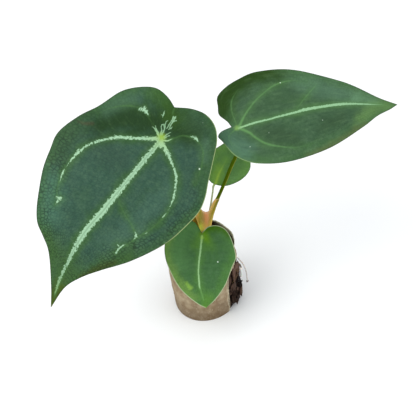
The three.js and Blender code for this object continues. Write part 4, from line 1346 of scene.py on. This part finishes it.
# %% The dry scale leaf
SCALE_FOOT, SCALE_TIP = np.array([1.3, 0.2, 54]), np.array([-1.6, 1.2, 75])
SCALE_RINGS, SCALE_SIDES = 40, 36
share = np.linspace(0, 1, SCALE_RINGS)[:, None]
angle = 2 * np.pi * np.arange(SCALE_SIDES) / SCALE_SIDES
half_width = 1.9 * np.sin(np.pi * share**0.8) ** 0.7
half_width[[0, -1]] = 0
across, thick = half_width * np.cos(angle), np.minimum(0.16, half_width) * np.sin(angle)
middle = SCALE_FOOT + (SCALE_TIP - SCALE_FOOT) * share[..., None]
scale_points = np.stack([
    middle[..., 0] + across - 0.9 * (1 - (across / 2.4) ** 2) * np.sin(np.pi * share),
    middle[..., 1] - 0.5 * across + thick + 0.25 * np.sin(3 * across) * share,
    middle[..., 2] + 0 * across,
], -1)
scale_leaf, tree, shader = new_material("dry scale leaf")
place = millimetres(tree)
lines = noise(stretched(place, (1.0, 1.0, 0.08)), 0.4, 3.0)
wire(tree, shader, {
    "Base Color": mixed(eased(lines, 0.35, 0.65), colour(104, 80, 10), colour(142, 114, 18)),
    "Normal": relief(stretched(place, (1.0, 1.0, 0.1)), 0.25, 0.08),
    "Roughness": 0.6, "Specular IOR Level": 0.08,
})
scale_triangles = grid_triangles(SCALE_RINGS, SCALE_SIDES, wrap_columns=True)[:, ::-1]
add_piece("dry_scale_leaf", scale_points.reshape(-1, 3), scale_triangles, scale_leaf, "crown")

# %% [markdown]
# ## The paper sleeve
#
# The plug is wrapped in thin, wet-strength paper that holds the roots and then rots away. Here it is
# torn open at the lower right. Cloth tools would crumple it nicely but slowly, and the tear would still
# have to be cut. So the sleeve is a grid of angle by height whose lower edge follows the tear, and small
# ripples wrinkle it and fray its edges. Each column runs up the outside and down the inside.

# %% The sleeve formula
PLUG_HEIGHT = 46
PLUG_RADIUS = 19.5
PAPER = 0.3  # its thickness
NO_TEAR = 30  # stands for a gap to the tear that is too wide to matter
TEAR = np.array([  # y, height of the torn edge
    [-14.9, 0], [-14.8, 26], [-14.4, 31], [-11.5, 34], [-7, 35], [-2, 34.5], [3, 33.5], [7, 29],
    [9.3, 20], [9.5, 0],
])


def sleeve_radius(angle, z):
    """The paper isn't quite round: 19.5 mm, an oval of 0.35 mm and three shallow dents of 0.25 mm."""
    return PLUG_RADIUS + 0.35 * np.sin(2 * angle + 0.6) + 0.25 * np.sin(3 * angle - z / 9 + 1)


def tear_height(y):
    """The height of the torn edge at that y on the right side."""
    return np.interp(y, *TEAR.T)


# %% Build the torn and wrinkled sleeve
COLUMNS, SLEEVE_RISE = 480, 56
angle = 2 * np.pi * np.arange(COLUMNS) / COLUMNS
y = PLUG_RADIUS * np.sin(angle)
girth = np.stack([angle * PLUG_RADIUS, 0 * angle], -1)
ragged, torn_waves = ripple(girth, 1.1, 61), ripple(girth, 4, 67)
inside_tear = (np.cos(angle) > 0) & (tear_height(y) > 0.5)
low = np.where(inside_tear, np.maximum(tear_height(y) + 0.7 * ragged + 0.9 * torn_waves, 0), 0)
high = PLUG_HEIGHT - 0.5 + 0.35 * ripple(girth, 5, 62) + 0.06 * ragged
high += 1.9 * bell(angle - np.radians(82), np.radians(32))  # the rim stands up at the back
print("sleeve: rim from", high.min().round(1), "to", high.max().round(1), "mm")
share = np.linspace(0, 1, SLEEVE_RISE)[:, None]
z = low + (high - low) * share
to_side = np.minimum(np.abs(y - TEAR[0, 0]), np.abs(y - TEAR[-1, 0])) + NO_TEAR * (np.cos(angle) < 0)
edge_line = np.stack([z, 0 * z], -1)
fray = bell(to_side, 2.5) * (0.03 * ripple(edge_line, 2.2, 63) + 0.03 * ripple(edge_line, 6, 68))
turned = angle + fray
flat = np.stack([turned * PLUG_RADIUS, z], -1)
crumple = 0.16 * ripple(flat, 7, 64) + 0.12 * np.abs(ripple(flat, 5, 65)) + 0.05 * ripple(flat, 1.8, 66)
torn_gap = np.where(inside_tear, z - low, NO_TEAR) + 0 * z
torn_gap = np.minimum(torn_gap, np.where(z < 34, to_side + 0 * z, NO_TEAR))
curl = 0.9 * bell(torn_gap, 2.2) + 0.35 * bell(high - z, 1.2) * (1 + 0.3 * ragged)
outer = sleeve_radius(turned, z) - 0.15 + crumple * ease(0, 3, z) + curl * ease(0, 2, z)
loops = [np.stack([r * np.cos(turned), r * np.sin(turned), z], -1) for r in (outer, outer - PAPER)]
sleeve_points = np.concatenate([loops[0], loops[1][::-1]]).reshape(-1, 3)
sleeve_triangles = grid_triangles(2 * SLEEVE_RISE, COLUMNS, wrap_rows=True, wrap_columns=True)[:, ::-1]
frayed = np.minimum(torn_gap, high - z)
sleeve_fields = {
    "fray": np.concatenate([frayed, frayed[::-1]]).ravel(),
    "inner": np.concatenate([0 * z, ease(0.3, 0.9, np.abs(angle - 0.2)) + 0 * z]).ravel(),
}

# %% [markdown]
# Wet paper is beige and blotched with brown where the bark bleeds into it. Its torn edge is paler and
# fuzzy, and short fibres lie in it in every direction.

# %% The paper's finish
paper, tree, shader = new_material("damp paper")
place, fray = millimetres(tree), field(tree, "fray")
height = put(tree, "ShaderNodeSeparateXYZ", {"Vector": place}).outputs["Z"]
fibres = noise(stretched(place, (1.0, 1.0, 0.3)), 0.6, 5.0)
skin = mixed(mottle(place, 6.0), colour(176, 160, 132), colour(150, 130, 100))
skin = layer(skin, mottle(place, 13.0), 0.55, colour(104, 80, 56))
damp = plus(height, times(noise(place, 8.0), 16.0))
skin = layer(skin, eased(damp, 26.0, 8.0), 0.6, colour(84, 64, 44))
skin = layer(skin, eased(fibres, 0.58, 0.72), 0.35, colour(206, 194, 168))
skin = layer(skin, eased(fray, 1.2, 0.1), 0.6, colour(200, 190, 162))
skin = layer(skin, eased(height, 42.0, 45.0), 0.55, colour(186, 190, 160))
skin = layer(skin, field(tree, "inner"), eased(fray, 0.4, 0.9), colour(46, 34, 24))
wire(tree, shader, {
    "Base Color": skin, "Normal": relief(place, 0.35, 0.12), "Roughness": 0.85, "Specular IOR Level": 0.12,
})
add_piece("paper_sleeve", sleeve_points, sleeve_triangles, paper, "paper_sleeve", sleeve_fields)

# %% [markdown]
# ## The growing medium
#
# Behind the paper is a moist mix of bark crumbs, coir and peat, held together by roots. A single lump
# would look like clay, so three things share the work: a dark crumbly body that swells out through the
# tear, a few hundred bark chips pressed into it where it shows, and loose coir fibres.

# %% The body's outside
FILL_LEVEL = 45
BEHIND_PAPER = 1.3  # from the paper's middle to the medium
CRUMBS = ((0.5, 3, 71), (0.3, 1.3, 72), (0.15, 0.7, 73))  # depth, size, seed
BARK_LUMPS = [  # middle, half lengths
    ((16.2, -7.6, 23), (4.2, 4.2, 8)),
    ((16.2, -2, 9), (5.8, 6.4, 8.8)),
    ((15.2, -9, 6.6), (4.2, 3.4, 6.4)),
    ((15.2, 2, 23), (4.2, 4.6, 7)),
]


def lump_reach(angle, z):
    """How far the bark lumps reach from the plug's axis in that direction, or 0 where there is none.

    A ray from the axis meets the ellipsoid where r solves a r^2 - 2 b r + c = 0.
    """
    reach = np.zeros(np.broadcast(angle, z).shape)
    for middle, half in BARK_LUMPS:
        a = (np.cos(angle) / half[0]) ** 2 + (np.sin(angle) / half[1]) ** 2
        b = middle[0] * np.cos(angle) / half[0] ** 2 + middle[1] * np.sin(angle) / half[1] ** 2
        c = (middle[0] / half[0]) ** 2 + (middle[1] / half[1]) ** 2 + ((z - middle[2]) / half[2]) ** 2 - 1
        root = b * b - a * c
        met = (root > 0) & (b > 0)
        reach = np.maximum(reach, np.where(met, (b + np.sqrt(np.maximum(root, 0))) / a, 0))
    return reach


def medium_radius(angle, z):
    """The body's outside: just inside the paper, or out to the lumps that swell through the tear."""
    return np.maximum(sleeve_radius(angle, z) - BEHIND_PAPER, lump_reach(angle, z) - 0.5)


# %% Build the crumbly body
BODY_SIDES, BODY_RISE, BODY_TOP = 300, 90, 45
angle = 2 * np.pi * np.arange(BODY_SIDES) / BODY_SIDES
z = np.linspace(0, FILL_LEVEL - 0.8, BODY_RISE)[:, None]
radius = medium_radius(angle, z)
side_wall = np.stack([radius * np.cos(angle), radius * np.sin(angle), np.broadcast_to(z, radius.shape)], -1)
inward = 1 - np.linspace(0, 1, BODY_TOP + 1)[1:, None]
top_face = side_wall[-1] * np.stack([inward, inward, np.ones_like(inward)], -1)
top_face[..., 2] += 1.2 * (1 - inward**6)
bottom = np.broadcast_to([0.0, 0, 0], (1, BODY_SIDES, 3))
body_points = np.concatenate([bottom, side_wall, top_face])
outward = body_points * [1, 1, 0]
outward /= np.maximum(np.linalg.norm(outward, axis=-1, keepdims=True), 1e-6)
crumbs = sum(depth * ripple(body_points, size, seed) for depth, size, seed in CRUMBS)
free = ease(0, 2, body_points[..., 2])[..., None]
on_top = np.concatenate([np.zeros(1 + BODY_RISE), np.ones(BODY_TOP)])[:, None, None]
away = on_top * np.array([0, 0, 1.0]) + (1 - on_top) * outward
body_points = body_points + crumbs[..., None] * free * away
body_points[-1] = body_points[-1].mean(0)
body_triangles = grid_triangles(len(body_points), BODY_SIDES, wrap_columns=True)[:, ::-1]
body_points = body_points.reshape(-1, 3)
print("body:", len(body_triangles), "triangles, up to", radius.max().round(1), "mm from the axis")

# %% [markdown]
# Chips of bark are flat, blunt and never alike. One rounded box is made as a grid, and a few hundred
# copies are stretched, roughened and turned all at once with arrays. A chip on the side lies against
# the body, and a chip on top lies nearly level.

# %% Flakes and the way they lie
def chip_shapes(sizes, seed):
    """Rounded flakes: a globe whose points are pushed towards a box, |p|^0.5 in each direction, and
    then roughened. sizes has shape (chips, 3) and gives half lengths."""
    tilt, turn = np.meshgrid(np.linspace(0, np.pi, 7), 2 * np.pi * np.arange(9) / 9, indexing="ij")
    globe = np.stack([np.sin(tilt) * np.cos(turn), np.sin(tilt) * np.sin(turn), np.cos(tilt)], -1)
    globe = globe.reshape(-1, 3)
    box = np.sign(globe) * np.abs(globe) ** 0.5
    random = np.random.default_rng(seed)
    rough = 1 + 0.18 * random.normal(size=(len(sizes), len(box), 1))
    rough[:, :9], rough[:, -9:] = 1, 1
    return box * rough * sizes[:, None], grid_triangles(7, 9, wrap_columns=True)[:, ::-1]


def turns(directions, spins):
    """For each direction a matrix that lays a flake's thin axis along it, spun about it."""
    n = directions / np.linalg.norm(directions, axis=1, keepdims=True)
    helper = np.where(np.abs(n[:, 2:]) < 0.9, [[0, 0, 1.0]], [[1.0, 0, 0]])
    a = np.cross(helper, n)
    a /= np.linalg.norm(a, axis=1, keepdims=True)
    b = np.cross(n, a)
    c, s = np.cos(spins)[:, None], np.sin(spins)[:, None]
    return np.stack([c * a + s * b, c * b - s * a, n], -1)


# %% Places and sizes of the chips
TEAR_ANGLES = np.radians([-46, 28])  # the two sides of the tear
random = np.random.default_rng(81)
TOP_CHIPS, SIDE_CHIPS = 150, 190
CHIPS = TOP_CHIPS + SIDE_CHIPS
spin = random.uniform(0, 2 * np.pi, TOP_CHIPS)
reach = 15.8 * np.sqrt(random.uniform(0.04, 1, TOP_CHIPS))
level = FILL_LEVEL + random.uniform(-0.8, 0.4, TOP_CHIPS)
top_places = np.stack([reach * np.cos(spin), reach * np.sin(spin), level], -1)
top_directions = np.stack([*random.normal(0, 0.35, (2, TOP_CHIPS)), np.ones(TOP_CHIPS)], -1)
side_angle = random.uniform(*TEAR_ANGLES, SIDE_CHIPS)
side_z = random.uniform(1.5, 33, SIDE_CHIPS)
side_z = np.minimum(side_z, tear_height(PLUG_RADIUS * np.sin(side_angle)) - 1)
side_z = np.maximum(side_z, 1.5)
out = medium_radius(side_angle, side_z) - 0.3
side_places = np.stack([out * np.cos(side_angle), out * np.sin(side_angle), side_z], -1)
side_directions = np.stack([np.cos(side_angle), np.sin(side_angle), 0 * side_angle], -1)
side_directions += random.normal(0, 0.3, side_directions.shape)
sizes = np.stack([
    random.uniform(0.8, 2.6, CHIPS), random.uniform(0.6, 1.5, CHIPS), random.uniform(0.25, 0.6, CHIPS),
], -1)
ROOT_PLACE = [21, -1.2, 18.5]
near_root = bell(np.linalg.norm(side_places - ROOT_PLACE, axis=1), 3.5)
sizes[TOP_CHIPS:] *= (1 - 0.6 * near_root)[:, None]  # smaller, so that the short root stays free
BIG_CHIPS = np.array([  # place, half width, half height, half thickness, tone
    [18.2, -9, 27.2, 4.6, 6, 0.6, 1.04], [20.3, -3.8, 25, 2.2, 5.4, 0.5, 0.98],
    [16.1, -12.5, 19.5, 2.4, 3.6, 0.5, 0.65], [20.7, -5.6, 6.6, 2.4, 3.6, 0.6, 0.95],
    [21.4, -1.6, 5.2, 1.8, 3.4, 0.6, 0.85], [18.4, -9.6, 13.6, 0.9, 0.9, 0.5, 0.9],
    [19.2, -4.4, 31.4, 1.8, 1.1, 0.6, 0.85], [14.4, -12.9, 24, 2, 4.5, 0.5, 0.75],
])
print("chips:", TOP_CHIPS, "on top,", SIDE_CHIPS, "in the tear and", len(BIG_CHIPS), "big ones")

# %% Lay the chips down and give each its tone
big_directions = BIG_CHIPS[:, :3] * [1, 1, 0]
spins = np.concatenate([random.uniform(0, 2 * np.pi, len(sizes)), np.full(len(BIG_CHIPS), 0.1)])
sizes = np.concatenate([sizes, BIG_CHIPS[:, 3:6]])
shapes, one_chip = chip_shapes(sizes, 82)
matrices = turns(np.concatenate([top_directions, side_directions, big_directions]), spins)
places = np.concatenate([top_places, side_places, BIG_CHIPS[:, :3]])
chips = np.einsum("nij,nkj->nki", matrices, shapes) + places[:, None]
chips[..., 2] = np.maximum(chips[..., 2], 0.2)
chip_points = chips.reshape(-1, 3)
chip_triangles = (one_chip + (np.arange(len(chips)) * chips.shape[1])[:, None, None]).reshape(-1, 3)
tones = random.uniform(0, 1, CHIPS) * np.repeat([0.6, 0.9], [TOP_CHIPS, SIDE_CHIPS])
tones[TOP_CHIPS:] += 0.55 * ease(15, 20, side_z)
SHADED_HOLLOW = np.array([[18.8, -6.5, 18.8], [20.4, -2.6, 14]])  # both ends of the dark hole between the chips
from_shaded_hollow = np.linalg.norm(side_places[:, None] - SHADED_HOLLOW, axis=2).min(1)
# painted shade: chips near the hollow are darkened
tones[TOP_CHIPS:] *= ease(4.2, 7.5, from_shaded_hollow)
chip_tones = np.repeat(np.concatenate([tones, BIG_CHIPS[:, 6]]), chips.shape[1])
print("chips reach from", chips[..., 2].min(), "to", chips[..., 2].max().round(1), "mm")

# %% Coir fibres
FIBRES, TOP_FIBRES = 126, 90
KNOTS = 12  # points of each fibre's path
random = np.random.default_rng(91)
steps = np.linspace(-1, 1, KNOTS)[None, :, None]
on_side = np.arange(FIBRES) >= TOP_FIBRES
all_round, in_tear = random.uniform(0, 2 * np.pi, FIBRES), random.uniform(-0.75, 0.48, FIBRES)
anchor_angle = np.where(on_side, in_tear, all_round)
anchor_r = 17 * np.sqrt(random.uniform(0.05, 1, FIBRES))
anchor_z = np.where(on_side, random.uniform(25, 33, FIBRES), FILL_LEVEL + 0.9)
anchor_r = np.where(on_side, medium_radius(anchor_angle, anchor_z) + 0.1, anchor_r)
anchors = np.stack([anchor_r * np.cos(anchor_angle), anchor_r * np.sin(anchor_angle), anchor_z], -1)
outwards = np.stack([np.cos(anchor_angle), np.sin(anchor_angle), 0 * anchor_z], -1)
normals = np.where(on_side[:, None], outwards, [[0, 0, 1.0]])
heading = np.cross(normals, random.normal(size=(FIBRES, 3)))
heading /= np.linalg.norm(heading, axis=1, keepdims=True)
sideways = np.cross(normals, heading)
half_length = random.uniform(2, 5, FIBRES)[:, None, None]
bend = random.uniform(-1.5, 1.5, FIBRES)[:, None, None]
fibre_paths = (
    anchors[:, None] + steps * half_length * heading[:, None] + bend * steps**2 * sideways[:, None]
    + (0.5 - 0.9 * steps**2) * normals[:, None]
)
reach = np.hypot(fibre_paths[..., 0], fibre_paths[..., 1])
limit = np.where(on_side[:, None], 26.0, 18.0)
fibre_paths[..., :2] *= np.minimum(1, limit / np.maximum(reach, 1e-6))[..., None]
fibre_paths[..., 2] = np.maximum(fibre_paths[..., 2], 0.3)
fibre_radii = np.broadcast_to(random.uniform(0.07, 0.16, FIBRES)[:, None], (FIBRES, KNOTS))
fibre_points, fibre_triangles, _ = sweep(fibre_paths, fibre_radii, 5)
print("fibres:", TOP_FIBRES, "on top,", FIBRES - TOP_FIBRES, "in the tear")

# %% [markdown]
# The medium is nearly black where it is wet and lies deep, and the chips range from reddish brown to
# charcoal. Each chip carries a tone of its own, and grain lines run through it. Round the hollow
# between the chips, medium and chips are painted near black as shade.

# %% The medium's finish
soil, tree, shader = new_material("wet medium")
place = millimetres(tree)
height = put(tree, "ShaderNodeSeparateXYZ", {"Vector": place}).outputs["Z"]
crumbs = mixed(eased(height, 36.0, 42.0), colour(60, 42, 34), colour(74, 62, 36))
skin = mixed(mottle(place, 2.2), colour(26, 19, 13), crumbs)
skin = layer(skin, mottle(place, 9.0), 0.4, colour(16, 11, 8))
# painted shade: the medium is near black round the hollow
for end in SHADED_HOLLOW.tolist():
    skin = layer(skin, eased(vector_calc("DISTANCE", place, end), 6.5, 3.5), 0.9, colour(12, 6, 6))
wire(tree, shader, {
    "Base Color": skin, "Normal": relief(place, 0.5, 0.35),
    "Roughness": eased(noise(place, 3.0), 0.2, 0.9), "Specular IOR Level": 0.04,
})
add_piece("growing_medium", body_points, body_triangles, soil, "growing_medium")

# %% The finish of the bark chips
bark, tree, shader = new_material("bark chips")
place, tone = millimetres(tree), field(tree, "tone")
skin = mixed(eased(tone, 0.1, 1.0), colour(22, 15, 12), colour(96, 74, 62))
skin = layer(skin, eased(tone, 0.95, 1.2), 0.9, colour(134, 103, 88))
lines = noise(stretched(place, (1.6, 1.6, 0.25)), 0.8, 3.0)
skin = layer(skin, eased(lines, 0.62, 0.38), 0.5, colour(34, 24, 20))
wire(tree, shader, {
    "Base Color": skin, "Normal": relief(place, 0.4, 0.25),
    "Roughness": plus(times(lines, 0.3), 0.5), "Specular IOR Level": 0.04,
})
chip_fields = {"tone": chip_tones}
add_piece("bark_chips", chip_points, chip_triangles, bark, "growing_medium", chip_fields)

# %% The finish of the coir
coir, tree, shader = new_material("coir")
place = millimetres(tree)
wire(tree, shader, {
    "Base Color": mixed(mottle(place, 5.0), colour(128, 104, 62), colour(84, 62, 36)),
    "Roughness": plus(times(mottle(place, 1.0), 0.2), 0.6), "Specular IOR Level": 0.15,
})
add_piece("coir_fibres", fibre_points, fibre_triangles, coir, "growing_medium")

# %% [markdown]
# ## Roots
#
# Two roots have found their way out of the tear. A young root is white, a little translucent and knotted
# like a cord, and its surface is dull with fine hairs. Beside them hangs one stiff brown fibre.

# %% Paths and a finish for the roots
LONG_ROOT = [
    (15.5, -2, 29.5), (18.4, -1.6, 31.2), (20.3, -1.1, 31), (21.9, -1, 28.8), (23.9, -1, 23.7),
    (25.2, -1, 17.3), (25.4, -1, 9.6),
]
SHORT_ROOT = [(17, 0.2, 20), (20.3, -0.6, 22.8), (21.8, -1.1, 21.8), (22.2, -1.3, 18), (22.0, -1.3, 14.3)]
BARK_FIBRE = [(16.5, -2.4, 25.4), (19.3, -1.9, 27), (21.2, -1.6, 26), (22.4, -1.4, 22.6)]


def root_tube(points, radius, end, knots, seed):
    """A tube whose radius shrinks evenly to the given share at its end and swells into small knots."""
    share = np.linspace(0, 1, 70)
    path = smooth_path(points, share)
    path = path + 0.12 * radius * np.stack([ripple(path, 4, seed + k) for k in range(3)], -1)
    size = radius * (1 + (end - 1) * share) * (1 + knots * ripple(path, 1.5, seed))
    return sweep(path[None], size[None], 14)


def root_material(name, pale, dark):
    material, tree, shader = new_material(name)
    place = millimetres(tree)
    wire(tree, shader, {
        "Base Color": mixed(mottle(place, 1.6), pale, dark), "Normal": relief(place, 0.25, 0.06),
        "Roughness": 0.6, "Specular IOR Level": 0.2, "Subsurface Weight": 0.2, "Subsurface Scale": 0.6 * MM,
    })
    return material


# %% Build the roots and the loose fibre
old_root = root_material("long root", colour(216, 208, 200), colour(190, 180, 172))
young_root = root_material("short root", colour(244, 240, 236), colour(222, 216, 210))
loose_fibre = root_material("loose fibre", colour(112, 94, 58), colour(66, 54, 44))
for name, line, form, skin, slot in (  # form is radius, share left at the end, knots, seed
    ("root_long", LONG_ROOT, (0.4, 0.8, 0.06, 101), old_root, "root"),
    ("root_short", SHORT_ROOT, (0.95, 0.6, 0.07, 111), young_root, "root"),
    ("bark_fibre", BARK_FIBRE, (0.72, 0.5, 0.15, 121), loose_fibre, "bark_and_coir"),
):
    points, triangles, fields = root_tube(line, *form)
    add_piece(name, points, triangles, skin, name, fields)

# %% The grain at the long root's end
grain_shape, one_grain = chip_shapes(np.array([[0.62, 0.56, 0.7]]), 131)
grain_points = grain_shape[0] + np.array(LONG_ROOT[-1]) - [0, 0, 0.3]
pale_grain, tree, shader = new_material("pale grain")
skin = mixed(mottle(millimetres(tree), 0.6), colour(168, 158, 154), colour(126, 112, 108))
wire(tree, shader, {"Base Color": skin, "Roughness": 0.8})
add_piece("root_grain", grain_points, one_grain, pale_grain, "root_long")
